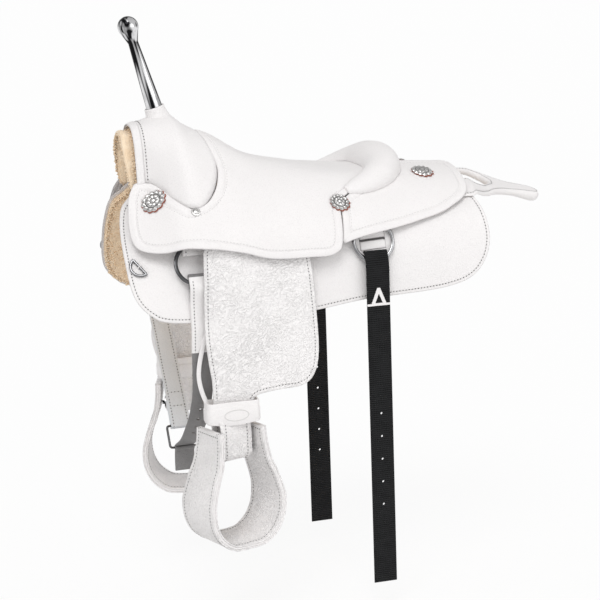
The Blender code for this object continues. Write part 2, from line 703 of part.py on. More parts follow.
def build_horn():
    profile = [(HORN_BASE_RADIUS, -HORN_ROOT), (HORN_BASE_RADIUS, 0.0),
               (HORN_NECK_RADIUS, HORN_NECK_HEIGHT - 0.004), (HORN_NECK_RADIUS + 0.0005, HORN_NECK_HEIGHT),
               (HORN_BALL_RADIUS * 0.88, HORN_BALL_HEIGHT - 0.0090)]
    for k in range(1, 8):
        a = math.radians(-20 + 105 * k / 7)
        profile.append((HORN_BALL_RADIUS * math.cos(a), HORN_BALL_HEIGHT + HORN_BALL_RADIUS * math.sin(a)))
    add_body("horn", *turned(profile, HORN_BASE, HORN_AXIS, HORN_SIDES), STEEL, smooth=40)
    inner = HORN_BASE_RADIUS + GAP
    u = unit(np.cross((0.0, 1.0, 0.0), HORN_AXIS))
    v = np.cross(HORN_AXIS, u)
    rings = []
    for n in range(HORN_SIDES):
        a = 2 * math.pi * n / HORN_SIDES
        way = u * math.cos(a) + v * math.sin(a)
        ring = []
        for radius, above in ((inner, False), (inner + COLLAR_WIDTH, False),
                              (inner + COLLAR_WIDTH, True), (inner, True)):
            p = np.array(HORN_BASE) + way * radius
            if above:
                ring.append(p + HORN_AXIS * COLLAR_HEIGHT)
                continue
            for _ in range(6):
                curve, _ = FORK.profile(p[0])
                rise = np.interp(abs(p[1]), curve[:, 0], curve[:, 1]) + FACET_GAP - p[2]
                p = p + HORN_AXIS * rise
            ring.append(p)
        rings.append(ring)
    add_body("horn_collar", *outward(*skin(rings, closed=True)), WHITE_LEATHER)


# Rear hand hold: a leather-covered steel loop with a flat tail
HAND_HOLD_BUTT_X = BAR_END_X + GAP
HAND_HOLD_ARM_HALF = 0.0030
HAND_HOLD_PAD = 0.0014
HAND_HOLD_HALF = 0.0085
HAND_HOLD_TAIL_HALF = 0.0125
HAND_HOLD_TWIST = math.radians(13)
HAND_HOLD_TWIST_SPAN = (0.368, 0.425)
HAND_HOLD_OUTER = ([(HAND_HOLD_BUTT_X, .112), (HAND_HOLD_BUTT_X, .150)]
                   + spline([(.316, .153), (.340, .154), (.362, .153), (.384, .136), (.402, .107), (.422, .072),
                             (.445, .046), (.475, .031), (.510, .026), (.540, .025), (.562, .020), (.572, .010)], 2))
HAND_HOLD_INNER = [(.450, .0), (.442, .022), (.415, .050), (.385, .072), (.340, .088), (.300, .100)]


def build_hand_hold():
    outline = [(.574, .0)] + list(reversed(HAND_HOLD_OUTER)) + list(reversed(HAND_HOLD_INNER))
    outline = [(float(x), float(s)) for x, s in outline]

    def half_thick(x):
        half = HAND_HOLD_ARM_HALF + (HAND_HOLD_HALF - HAND_HOLD_ARM_HALF) * ramp(x, 0.36, 0.385)
        return half + (HAND_HOLD_TAIL_HALF - HAND_HOLD_HALF) * ramp(x, 0.50, 0.55)

    def over(x, s):
        return half_thick(x) + HAND_HOLD_PAD * (1 - ramp(x, 0.34, 0.36))

    def under(x, s):
        return -half_thick(x)

    verts, faces = sheet(HAND_HOLD, outline, under, over, full=True)
    add_body("hand_hold", [hand_hold_twist(p) for p in verts], faces, WHITE_LEATHER)


def hand_hold_twist(p):
    """The free part of the loop is bent by use: its near arm hangs lower than its off arm."""
    turn = HAND_HOLD_TWIST * ramp(p[0], *HAND_HOLD_TWIST_SPAN)
    height = HAND_HOLD.flat(p[0], 0.0)[2]
    y, z = p[1], p[2] - height
    return np.array([p[0], y * math.cos(turn) - z * math.sin(turn),
                     height + y * math.sin(turn) + z * math.cos(turn)])


# Rings and what hangs from them
class RingPlace:
    """Where a rigging ring lies on the skirt: centre, plane normal, down direction and low point.

    The ring is lifted off the skirt by as much as its bar and the straps behind it need.
    """

    def __init__(self, x, s):
        self.normal = SKIRT.normal(x, s)
        self.normal[0] = 0.0
        self.normal = unit(self.normal)
        self.down = np.array([0.0, self.normal[2], -self.normal[1]])
        foot = SKIRT.flat(x, s)
        bar_room = RING_BAR_FLAT + SKIN_GAP
        strap_room = bar_room + STRAP_PLY + RUNNING_GAP
        turns = [2 * math.pi * k / 24 for k in range(24)]
        spots = [(RING_RADIUS * math.cos(a), RING_RADIUS * math.sin(a), bar_room) for a in turns]
        spots += [(across, along, strap_room) for across in (-RING_STRAP_HALF, 0, RING_STRAP_HALF)
                  for along in (-RING_RADIUS - 0.020, -RING_RADIUS, FOLD - RING_RADIUS, RING_RADIUS)]
        lift = 0.0
        for across, along, room in spots:
            spot = foot + np.array([across, 0, 0]) + self.down * along
            rise = (SKIRT.y_at(spot[0], spot[2]) - spot[1]) * self.normal[1]
            lift = max(lift, rise + room)
        self.centre = foot + self.normal * lift
        self.low = self.centre + self.down * RING_RADIUS
        self.high = self.centre - self.down * RING_RADIUS

    def at(self, point, down, out):
        return point + self.down * down + self.normal * out


FOLD = 0.022
KEEPER_WIDTH = 0.050
RING_STRAP_HALF = 0.028
SKIN_GAP = 0.0008
REAR_RING = RingPlace(REAR_RING_X, REAR_RING_S)
FRONT_RING = RingPlace(FRONT_RING_X, FRONT_RING_S)
PLY_OUT = RING_BAR_FLAT + RUNNING_GAP + STRAP_PLY / 2


def build_ring(name, place, flat, side, mat, origin):
    across = np.array([1.0, 0.0, 0.0])
    count = 22
    path = []
    for k in range(count):
        a = 2 * math.pi * k / count
        spoke = across * math.cos(a) + place.down * math.sin(a)
        path.append(place.centre + spoke * RING_RADIUS)
    body = tube(path, RING_BAR, 6, closed=True, flat=flat, flat_axis=place.normal)
    return add_body(name, *body, mat, side, origin)


def keeper_top(place, lift):
    """The upper end of a ring's keeper strap under the jockey: on the skirt or over the bar's edge."""
    x, _, z = place.at(place.high, -0.018, -PLY_OUT)
    y = max(SKIRT.y_at(x + d, z) for d in (-KEEPER_WIDTH / 2, 0, KEEPER_WIDTH / 2))
    return np.array([x, y + lift + STRAP_PLY / 2, z])


def build_keeper(name, place, flat, lift, side):
    """The white strap that holds the ring's upper bar to the tree."""
    high = place.high
    out = flat + RUNNING_GAP + STRAP_PLY / 2
    path = [keeper_top(place, lift), place.at(high, -0.004, -out),
            place.at(high, 0.018, -out), place.at(high, FOLD, -out * 0.6),
            place.at(high, FOLD, out * 0.6), place.at(high, 0.018, out),
            place.at(high, -0.004, out), place.at(high, -0.012, out)]
    strap = ribbon(path, (1, 0, 0), KEEPER_WIDTH, STRAP_PLY)
    add_body(name, *strap, WHITE_LEATHER, side, keeper_top(place, lift))


def hanging_path(place, hang_y, back_drop, low_points):
    """A strap folded over a ring's lower bar: short back ply, fold, front ply, then the hanging tail."""
    x, _, low_z = place.low
    low = place.low
    back_z = low_z - back_drop
    back_y = max(SKIRT.y_at(x + d, back_z) for d in (-CINCH_SWAY, 0, CINCH_SWAY)) + SKIN_GAP + STRAP_PLY / 2
    back_y = max(back_y, min(hang_y - STRAP_PLY - RUNNING_GAP, low[1] - 0.004))
    front_y = max(back_y + STRAP_PLY + RUNNING_GAP, min(hang_y, low[1] + PLY_OUT + 0.003))
    return [(x, back_y, back_z),
            place.at(low, 0.010, -PLY_OUT), place.at(low, -0.014, -PLY_OUT),
            place.at(low, -FOLD + 0.0015, -PLY_OUT * 0.55), place.at(low, -FOLD + 0.0015, PLY_OUT * 0.55),
            place.at(low, -0.014, PLY_OUT), place.at(low, 0.008, PLY_OUT),
            (x, front_y, back_z)] + low_points


def build_rear_rigging():
    hang_y = REAR_RING.low[1] + PLY_OUT + 0.003
    low = REAR_RING.low
    for label, side in SIDES:
        build_ring(f"rear_ring_{label}", REAR_RING, RING_BAR_FLAT, side, CHROME, REAR_RING.centre)
        build_keeper(f"rear_ring_keeper_{label}", REAR_RING, RING_BAR_FLAT, BAR_EDGE + SKIN_GAP, side)
        tail = [(low[0], hang_y, z) for z in (-0.20, -0.40, -0.60, BILLET_END_Z)]
        path = hanging_path(REAR_RING, hang_y, 0.050, tail)
        strap = ribbon(path, (1, 0, 0), BILLET_WIDTH, STRAP_PLY)
        billet = add_body(f"rear_billet_{label}", *strap, NYLON, side, REAR_RING.centre)
        pins = []
        for k in range(5):
            z = -0.415 - 0.0508 * k
            place = (low[0], hang_y * side, z)
            pins.append(turned([(HOLE_RADIUS, -0.01), (HOLE_RADIUS, 0.01)], place, (0, 1, 0), 8))
        cutter(f"billet_hole_cutter_{label}", *joined(pins), billet)
        face_y = hang_y + STRAP_PLY / 2 + GAP
        lace = 0.0016
        bar_z = -0.176
        body = triangle_lace(0.0046, lace, low[0], bar_z, face_y)
        add_body(f"billet_lace_{label}", *body, WHITE_LEATHER, side, REAR_RING.centre)


def triangle_lace(width, thick, x0, bar_z, face_y):
    """A flat lace tied as a triangle over a cross bar, cut as one outline with a window."""
    half = BILLET_WIDTH / 2
    outer = [(x0 - half, bar_z - width / 2), (x0 + half, bar_z - width / 2), (x0 + half, bar_z + width / 2),
             (x0 + 0.0165, bar_z + width / 2), (x0 + 0.0030, bar_z + 0.036), (x0 - 0.0030, bar_z + 0.036),
             (x0 - 0.0165, bar_z + width / 2), (x0 - half, bar_z + width / 2)]
    window = [(x0 - 0.0085, bar_z + width / 2 + 0.0010), (x0 + 0.0085, bar_z + width / 2 + 0.0010),
              (x0, bar_z + 0.024)]
    bm = bmesh.new()
    loops = []
    for pts in (outer, window):
        vs = [bm.verts.new((x, z, 0)) for x, z in pts]
        loops += [bm.edges.new((a, b)) for a, b in zip(vs, vs[1:] + vs[:1])]
    bmesh.ops.triangle_fill(bm, use_beauty=True, use_dissolve=False, edges=loops)
    bm.verts.index_update()
    flat = [(v.co.x, v.co.y) for v in bm.verts]
    tris = [tuple(v.index for v in f.verts) for f in bm.faces]
    edges = [(e.verts[0].index, e.verts[1].index, [v.index for v in e.link_faces[0].verts])
             for e in bm.edges if len(e.link_faces) == 1]
    bm.free()
    count = len(flat)
    verts = [(x, face_y, z) for x, z in flat] + [(x, face_y + thick, z) for x, z in flat]
    faces = list(tris) + [tuple(k + count for k in reversed(t)) for t in tris]
    for a, b, order in edges:
        if order[(order.index(a) + 1) % 3] != b:
            a, b = b, a
        faces.append((b, a, a + count, b + count))
    return outward(verts, faces)


# Cinch loop: off strap, buckle and near billet hang between the front rings
BUCKLE_DIR = unit((0.0, -0.52, -0.85))
BUCKLE_TOP = np.array([FRONT_RING_X, 0.030, -0.462])
BUCKLE_LONG = 0.050
BUCKLE_WIDE = 0.062
BUCKLE_WIRE = 0.0026
ROLLER_RADIUS = 0.0055


def build_front_rigging():
    x0 = FRONT_RING_X
    hang_y = SKIRT.y_at(x0 + CINCH_SWAY, -0.180) + GAP + STRAP_PLY / 2
    for label, side in SIDES:
        build_ring(f"front_ring_{label}", FRONT_RING, FRONT_RING_FLAT, side, DARK_STEEL, FRONT_RING.centre)
        build_keeper(f"front_ring_keeper_{label}", FRONT_RING, FRONT_RING_FLAT, SKIN_GAP, side)
    pivot = (x0, 0.0, FRONT_RING.low[2])
    top = np.array(BUCKLE_TOP)
    bar_loop = []
    reach = BUCKLE_WIRE + RUNNING_GAP + STRAP_PLY / 2
    side_dir = unit(np.cross((1, 0, 0), BUCKLE_DIR))
    for k in range(5):
        a = math.pi * k / 4
        bar_loop.append(top - side_dir * reach * math.cos(a) + BUCKLE_DIR * reach * math.sin(a))
    off_tail = [(x0, hang_y, -0.180), (x0, hang_y, -0.205), (x0, 0.198, -0.234)]
    before = top - side_dir * reach - BUCKLE_DIR * 0.030
    after = top + side_dir * reach - BUCKLE_DIR * 0.060
    path = hanging_path(FRONT_RING, hang_y, 0.036, off_tail) + [before] + bar_loop + [after]
    add_body("cinch_strap_off", *ribbon(path, (1, 0, 0), CINCH_WIDTH, STRAP_PLY), WHITE_LEATHER, 1, pivot)
    frame_end = top + BUCKLE_DIR * BUCKLE_LONG
    half = BUCKLE_WIDE / 2
    corners = [top + np.array([-half, 0, 0]), top + np.array([half, 0, 0]),
               frame_end + np.array([half, 0, 0]), frame_end + np.array([-half, 0, 0])]
    path = []
    for k, c in enumerate(corners):
        back, ahead = corners[k - 1], corners[(k + 1) % 4]
        for blend in (0.0, 0.5, 1.0):
            path.append(c + (unit(back - c) * (1 - blend) + unit(ahead - c) * blend) * 0.007
                        - (unit(back - c) + unit(ahead - c)) * (0.0020 if blend == 0.5 else 0.0))
    add_body("cinch_buckle_frame", *tube(path, BUCKLE_WIRE, 6, closed=True), DARK_STEEL, 1, pivot)
    roller_in = BUCKLE_WIRE + 0.0006
    length = BUCKLE_WIDE - 0.020
    rings = []
    for n in range(12):
        a = 2 * math.pi * n / 12
        way = side_dir * math.cos(a) + BUCKLE_DIR * math.sin(a)
        ring = []
        for r, h in ((roller_in, -length / 2), (ROLLER_RADIUS, -length / 2),
                     (ROLLER_RADIUS, length / 2), (roller_in, length / 2)):
            ring.append(frame_end + way * r + np.array([h, 0, 0]))
        rings.append(ring)
    add_body("buckle_roller", *outward(*skin(rings, closed=True)), DARK_STEEL, 1, frame_end)
    wrap = ROLLER_RADIUS + RUNNING_GAP + STRAP_PLY / 2
    turn = []
    for deg in (200, 160, 120, 80):
        a = math.radians(deg)
        turn.append(frame_end + side_dir * wrap * math.cos(a) + BUCKLE_DIR * wrap * math.sin(a))
    near = [(x0, hang_y, -0.180), (x0, hang_y, -0.200), (x0, 0.201, -0.245), (x0, 0.189, -0.330), (x0, 0.150, -0.392),
            (x0, 0.100, -0.438), (x0, 0.055, -0.472)]
    path = [np.array(p) * (1, -1, 1) for p in hanging_path(FRONT_RING, hang_y, 0.036, near)]
    path += turn
    path += [turn[-1] + np.array([0, 0.004, drop]) for drop in (-0.022, -0.046)]
    add_body("cinch_billet_near", *ribbon(path, (1, 0, 0), CINCH_WIDTH, STRAP_PLY), WEBBING, 1, pivot)


# Fenders and stirrup leathers
def turned_axis():
    return np.array([math.cos(STIRRUP_TURN), -math.sin(STIRRUP_TURN), 0.0])


def build_fenders():
    pivot = (LEATHER_X, PIVOT_Y, PIVOT_Z)
    across = np.array([1.0, 0.0, 0.0])
    for label, side in SIDES:
        outline = [(x, FENDER.s_at(0.0, z)) for x, z in FENDER_OUTLINE]
        add_body(f"fender_{label}", *sheet(FENDER, outline, -FENDER_THICK / 2, FENDER_THICK / 2),
                 WHITE_LEATHER, side, pivot)
        thin = STIRRUP_LOOP_THICK
        wrap = SPOOL_RADIUS + SPOOL_GAP + thin / 2
        hanging = [(LEATHER_X, PIVOT_Y, LEATHER_TOP_Z), (LEATHER_X, PIVOT_Y, PIVOT_Z),
                   (LEATHER_X, PIVOT_Y, -.024), (LEATHER_X, .1875, -.032), (LEATHER_X, .1935, -.046), (LEATHER_X, .1998, -.064),
                   (LEATHER_X, .2085, -.090), (LEATHER_X, .2130, -.112), (LEATHER_X, .215, -.135),
                   (LEATHER_X - .008, .215, -.250), (LEATHER_LOW_X, .215, -.335)]
        widths = [0.020, 0.048, 0.058] + [LEATHER_WIDTH] * 8 + [0.066]
        path, ways = list(hanging), [across] * len(hanging)
        looped = [(-.0065, -.362), (-.0130, -.395), (-wrap, -.425), (-wrap, -.443)]
        looped += [(-wrap * math.cos(math.radians(d)), BOLT_Z - wrap * math.sin(math.radians(d)))
                   for d in range(0, 181, 20)]
        looped += [(wrap, -.443), (wrap, -.425), (.0155, -.398), (.0090, -.370)]
        for out, z in looped:
            angle = STIRRUP_TURN * ramp(-z, 0.403, 0.441)
            path.append((LEATHER_LOW_X + math.sin(angle) * out, BOLT_Y + math.cos(angle) * out, z))
            ways.append((math.cos(angle), -math.sin(angle), 0.0))
        widths += [0.074] + [LOOP_WIDTH] * (len(looped) - 1)
        thicks = [STIRRUP_LEATHER_THICK] * len(hanging) + [thin] * len(looped)
        leather = add_body(f"stirrup_leather_{label}", *ribbon(path, ways, widths, thicks), WHITE_LEATHER,
                           side, pivot)
        hole = turned([(RIVET_RADIUS + GAP, -0.008), (RIVET_RADIUS + GAP, 0.008)],
                      (LEATHER_X, PIVOT_Y * side, PIVOT_Z), (0, 1, 0), 12)
        cutter(f"rivet_hole_cutter_{label}", *hole, leather)
        build_leather_top(label, side)
        build_hobble(label, side, pivot)


def build_leather_top(label, side):
    """The stirrup leather's upper loop, round the bar through its slot, and the rivet at its foot."""
    s_slot, s_edge = 0.100, 0.172
    ply = 0.0040
    leg_room = STIRRUP_LEATHER_THICK / 2 + 0.0007
    leg_in = PIVOT_Y - leg_room - ply / 2
    leg_out = PIVOT_Y + leg_room + ply / 2
    leg_end = PIVOT_Z - 0.0075
    under = 0.0036
    path = [(LEATHER_X, leg_in, leg_end), (LEATHER_X, leg_in, PIVOT_Z)]
    path += [SKIRT.point(LEATHER_X, s, under) for s in (s_edge, .150, .128, s_slot + 0.006)]
    path += [SKIRT.point(LEATHER_X, s_slot, t) for t in (under + 0.002, BAR_THICK + 0.0008)]
    for s in (s_slot + 0.008, .128, .150, s_edge):
        path.append(SKIRT.point(LEATHER_X, s, bar_thickness(LEATHER_X, s) + 0.0034))
    path += [(LEATHER_X, leg_out, 0.003), (LEATHER_X, leg_out, leg_end)]
    body = ribbon(path, (1, 0, 0), LEATHER_WIDTH * 0.8, ply)
    add_body(f"stirrup_leather_top_{label}", *body, WHITE_LEATHER, side)
    rivet_half = STIRRUP_LEATHER_THICK / 2 + 0.0007 - GAP
    rivet = turned([(RIVET_RADIUS, -rivet_half), (RIVET_RADIUS, rivet_half)], (LEATHER_X, PIVOT_Y, PIVOT_Z),
                   (0, 1, 0), 12)
    add_body(f"leather_rivet_{label}", *rivet, CHROME, side)


def build_hobble(label, side, pivot):
    """The hobble strap that binds the fender's neck to the stirrup leather."""
    x_low, x_high, y_low, y_high = -.279, -.168, .1940, .2370
    corner = 0.010
    path = []
    for cx, cy, start in ((x_high - corner, y_high - corner, 0), (x_low + corner, y_high - corner, 90),
                          (x_low + corner, y_low + corner, 180), (x_high - corner, y_low + corner, 270)):
        for k in range(4):
            a = math.radians(start + 30 * k)
            path.append((cx + corner * math.cos(a), cy + corner * math.sin(a), HOBBLE_Z))
    body = ribbon(path, (0, 0, 1), HOBBLE_WIDTH, STRAP_PLY, closed=True)
    add_body(f"hobble_strap_{label}", *body, WHITE_LEATHER, side, pivot)


# Stirrups
def stirrup_path():
    """Half of the bell outline, from the neck's top to the middle of the tread, as (half width, drop)."""
    band = STIRRUP_BAND / 2
    side_curve = spline([(NECK_HALF - band, STIRRUP_TOP), (NECK_HALF - band + .001, STIRRUP_TOP - .030),
                         (.061, -.020), (.0715, -.045), (.083, -.080),
                         (STIRRUP_HALF - band, STIRRUP_WIDEST), (.084, -.142), (.068, -.172),
                         (STIRRUP_FLAT_HALF + .012, -STIRRUP_DROP + .010)], 2)
    tread_z = -STIRRUP_DROP + band
    return side_curve + [np.array([STIRRUP_FLAT_HALF, tread_z]), np.array([0.0, tread_z])]


def build_stirrups():
    across = turned_axis()
    facing = np.array([math.sin(STIRRUP_TURN), math.cos(STIRRUP_TURN), 0.0])
    centre = np.array([LEATHER_LOW_X, BOLT_Y, BOLT_Z])
    half = stirrup_path()
    whole = [(-w, h) for w, h in half] + [(w, h) for w, h in reversed(half[:-1])]
    path = [centre + across * w + np.array([0, 0, h]) for w, h in whole]
    depths = []
    for w, h in whole:
        low = ramp(-h, -STIRRUP_TOP, -STIRRUP_WIDEST)
        depths.append(STIRRUP_NECK_DEPTH + (STIRRUP_TREAD_DEPTH - STIRRUP_NECK_DEPTH) * low)
    legs = [p for p in half if p[1] > -0.05]
    leg_slope = (legs[-1][0] - legs[0][0]) / (legs[0][1] - legs[-1][1])
    leg_half = np.interp(0.0, [-p[1] for p in legs], [p[0] for p in legs])
    inner_half = leg_half - STIRRUP_BAND / 2 - BOLT_RADIUS * leg_slope - GAP
    spool = [(BOLT_RADIUS, -inner_half), (BOLT_RADIUS, -SPOOL_HALF - 0.0005), (SPOOL_RADIUS, -SPOOL_HALF),
             (SPOOL_RADIUS, SPOOL_HALF), (BOLT_RADIUS, SPOOL_HALF + 0.0005), (BOLT_RADIUS, inner_half)]
    for label, side in SIDES:
        band = ribbon(path, facing, depths, STIRRUP_BAND)
        add_body(f"stirrup_{label}", *band, WHITE_LEATHER, side, centre)
        add_body(f"stirrup_bolt_{label}", *turned(spool, centre, across, 16), STEEL, side, centre)


# Breast-collar rings on the skirts' front corners
def build_breast_rings():
    x, s = -.392, .252
    normal = SKIRT.normal(x, s)
    centre = SKIRT.flat(x, s) + normal * 0.0032
    along = unit(SKIRT.flat(x + .01, s) - SKIRT.flat(x - .01, s))
    down = unit(np.cross(along, normal)) * -1
    if down[2] > 0:
        down = -down
    bar_dir = unit(along * 0.75 + down * 0.66)
    out_dir = unit(np.cross(normal, bar_dir))
    if np.dot(out_dir, along) > 0:
        out_dir = -out_dir
    radius, wire = 0.0178, 0.0024
    bar_centre = centre - out_dir * 0.006
    path = []
    for k in range(15):
        a = math.radians(-78 + 156 * k / 14)
        path.append(bar_centre + out_dir * radius * (1.05 * math.cos(a)) + bar_dir * radius * math.sin(a))
    for side_name, side in SIDES:
        bar_mid = bar_centre + out_dir * radius * 1.05 * math.cos(math.radians(78))
        ring = tube(path, wire, 6, closed=True, flat_axis=normal)
        add_body(f"breast_ring_{side_name}", *ring, CHROME, side, bar_mid)
        reach = wire + RUNNING_GAP + 0.0011
        clip = [bar_mid - out_dir * 0.018 + normal * (reach * 0.3),
                bar_mid - out_dir * 0.008 + normal * reach,
                bar_mid + normal * reach, bar_mid + normal * reach * 0.7 + out_dir * reach * 0.7,
                bar_mid + out_dir * reach]
        add_body(f"breast_ring_clip_{side_name}", *ribbon(clip, bar_dir, 0.016, 0.0018), WHITE_LEATHER, side)


# Rosettes and screws
def rosette(x, s, radius, gap):
    """A domed silver rosette whose lobed rim follows the leather below it."""
    count = ROSETTE_LOBES * 2
    rings = []
    for share, height in ((0.93, 0.0), (1.0, 0.0012), (0.62, 0.0034), (0.30, ROSETTE_THICK)):
        ring = []
        for n in range(count):
            a = 2 * math.pi * n / count
            reach = radius * share * (0.94 if n % 2 and share > 0.9 else 1.0)
            ring.append(TOP.point(x + reach * math.cos(a), s + reach * math.sin(a), gap + height))
        rings.append(ring)
    return outward(*skin(rings))


def build_trim():
    places = {"front": (-.345, .150, ROSETTE_RADIUS, FACET_GAP),
              "middle": (.039, .200, ROSETTE_SMALL_RADIUS, RUNNING_GAP),
              "rear": (.262, .086, ROSETTE_RADIUS, RUNNING_GAP)}
    for place, (x, s, radius, gap) in places.items():
        for label, side in SIDES:
            add_body(f"{place}_rosette_{label}", *rosette(x, s, radius, gap), SILVER, side, smooth=20)


def clear_scene():
    for obj in list(bpy.data.objects):
        bpy.data.objects.remove(obj, do_unlink=True)


def build_saddle():
    clear_scene()
    build_tree()
    build_skirts()
    build_covers()
    build_cantle()
    build_horn()
    build_hand_hold()
    build_rear_rigging()
    build_front_rigging()
    build_fenders()
    build_stirrups()
    build_breast_rings()
    build_trim()


build_saddle()
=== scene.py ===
# %% [markdown]
# A trick riding saddle hangs in the air in a white studio: white pebbled leather over a wooden
# tree, a tall steel horn, a hand hold behind the cantle, black billets and bell stirrups.
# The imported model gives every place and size. The lesson dresses it piece by piece, and each
# new piece rides on the body of the model that carries it.

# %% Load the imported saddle
import json
import math
import random

import bpy
import numpy as np
from mathutils import Matrix, Vector
from mathutils.geometry import delaunay_2d_cdt

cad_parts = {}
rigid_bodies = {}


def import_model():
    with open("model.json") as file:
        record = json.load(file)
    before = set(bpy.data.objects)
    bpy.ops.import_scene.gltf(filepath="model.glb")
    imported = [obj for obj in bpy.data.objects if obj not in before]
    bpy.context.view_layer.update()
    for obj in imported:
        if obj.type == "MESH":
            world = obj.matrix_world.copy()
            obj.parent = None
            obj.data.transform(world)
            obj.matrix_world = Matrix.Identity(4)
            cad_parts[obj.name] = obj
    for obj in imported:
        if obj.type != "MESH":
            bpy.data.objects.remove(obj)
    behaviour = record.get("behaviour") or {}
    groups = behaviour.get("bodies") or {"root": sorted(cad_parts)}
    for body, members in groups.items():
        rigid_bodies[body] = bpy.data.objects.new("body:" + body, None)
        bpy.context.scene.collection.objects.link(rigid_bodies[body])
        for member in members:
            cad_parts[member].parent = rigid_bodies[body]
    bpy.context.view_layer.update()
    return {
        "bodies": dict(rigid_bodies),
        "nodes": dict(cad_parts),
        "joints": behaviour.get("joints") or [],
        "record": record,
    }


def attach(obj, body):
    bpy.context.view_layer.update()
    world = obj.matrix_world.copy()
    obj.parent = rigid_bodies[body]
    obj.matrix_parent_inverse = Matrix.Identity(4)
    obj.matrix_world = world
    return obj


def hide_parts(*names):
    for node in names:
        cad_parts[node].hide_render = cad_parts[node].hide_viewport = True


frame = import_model()
NODES = frame["nodes"]
bpy.ops.object.select_all(action="DESELECT")
SIDES = (("near", -1), ("off", 1))

# %% [markdown]
# The camera stands in front and to the near side of the saddle, a little above it, with a long
# lens. It comes first, because every later choice is judged through it. Its directions were
# worked out from points that the photograph and the model share.

# %% Camera
CAMERA_PLACE = Vector((-1.20685, -3.94742, 0.67739))
LOOK = Vector((0.28598, 0.93541, -0.20791))
RIGHT = Vector((0.95360, -0.29913, -0.03414))
UP = Vector((0.09413, 0.18850, 0.97755))
LENS = 114.3


def linked(name, data):
    obj = bpy.data.objects.new(name, data)
    bpy.context.scene.collection.objects.link(obj)
    return obj


def set_camera():
    data = bpy.data.cameras.new("studio_camera")
    data.sensor_width = 36.0
    data.lens = LENS
    camera = linked("studio_camera", data)
    turn = Matrix((RIGHT, UP, -LOOK)).transposed().to_4x4()
    camera.matrix_world = Matrix.Translation(CAMERA_PLACE) @ turn
    bpy.context.scene.camera = camera


set_camera()

# %% [markdown]
# Materials, node groups, floor and world are all node trees. One small class makes their nodes
# and links with short calls.


# %% Short calls for node trees
class Nodes:
    """A node tree under construction."""

    def __init__(self, tree):
        self.tree = tree

    def node(self, kind, values=(), **settings):
        made = self.tree.nodes.new("ShaderNode" + kind)
        for key, value in settings.items():
            setattr(made, key, value)
        for key, value in dict(values).items():
            if isinstance(value, bpy.types.NodeSocket):
                self.tree.links.new(value, made.inputs[key])
            else:
                made.inputs[key].default_value = value
        return made

    def math(self, operation, *values):
        return self.node("Math", enumerate(values), operation=operation).outputs[0]

    def mix(self, share, a, b):
        return self.node("Mix", {0: share, 6: a, 7: b}, data_type="RGBA").outputs[2]

    def span(self, value, low, high, to_low=0.0, to_high=1.0):
        limits = {"From Min": low, "From Max": high, "To Min": to_low, "To Max": to_high}
        return self.node("MapRange", {"Value": value, **limits}).outputs[0]

    def noise(self, vector, scale, detail, distortion=0.0):
        return self.node("TexNoise", {"Vector": vector, "Scale": scale, "Detail": detail,
                                      "Distortion": distortion}).outputs[0]

    def bump(self, strength, distance, height):
        return self.node("Bump", {"Strength": strength, "Distance": distance,
                                  "Height": height}).outputs[0]


# %% [markdown]
# The floor is far below the stirrups. It has to look as white as the backdrop and still keep
# a soft shadow, so its material mixes a plain diffuse surface with a white glow that only the
# camera, mirrors and glass see. The glow never lights the saddle.

# %% Floor, world and lamps
FLOOR_Z = -0.86
FLOOR_SIZE = 90
FLOOR_PAINT = (0.93, 0.93, 0.93, 1)
GLOW_SHARE = 0.88
WORLD_LIGHT = 0.62


def studio_floor():
    bpy.ops.mesh.primitive_plane_add(size=FLOOR_SIZE, location=(0, 0, FLOOR_Z))
    floor = bpy.context.active_object
    floor.name = "studio_floor"
    mat = bpy.data.materials.new("studio_floor")
    mat.use_nodes = True
    mat.node_tree.nodes.clear()
    n = Nodes(mat.node_tree)
    ray = n.node("LightPath").outputs
    seen = n.math("MAXIMUM", ray["Is Camera Ray"], ray["Is Glossy Ray"])
    seen = n.math("MAXIMUM", seen, ray["Is Transmission Ray"])
    paint = n.node("BsdfDiffuse", {"Color": FLOOR_PAINT}).outputs[0]
    glow = n.node("Emission").outputs[0]
    mix = n.node("MixShader", {0: n.math("MULTIPLY", seen, GLOW_SHARE), 1: paint, 2: glow})
    n.node("OutputMaterial", {"Surface": mix.outputs[0]})
    floor.data.materials.append(mat)


def studio_world():
    world = bpy.data.worlds.new("studio_world")
    world.use_nodes = True
    bpy.context.scene.world = world
    n = Nodes(world.node_tree)
    ray = n.node("LightPath").outputs
    seen = n.math("MAXIMUM", ray["Is Camera Ray"], ray["Is Transmission Ray"])
    back = n.tree.nodes["Background"].inputs
    n.tree.links.new(n.span(seen, 0.0, 1.0, WORLD_LIGHT, 1.0), back["Strength"])
    back["Color"].default_value = (1, 1, 1, 1)


def studio_sun(name, energy, spread, towards):
    data = bpy.data.lights.new(name, "SUN")
    data.energy = energy
    data.angle = math.radians(spread)
    linked(name, data).rotation_euler = Vector(towards).to_track_quat("-Z", "Y").to_euler()


studio_floor()
studio_world()
studio_sun("key_light", 1.15, 30, (0.35, 0.75, -1.05))
studio_sun("front_light", 0.64, 50, (-0.55, 0.95, -0.15))
bpy.context.scene.view_settings.view_transform = "Standard"

# %% [markdown]
# Leather, fleece, nylon and metal come next. Grain, pile, weave and brushing are node groups
# with named inputs, so that each finish places the same group with its own numbers.


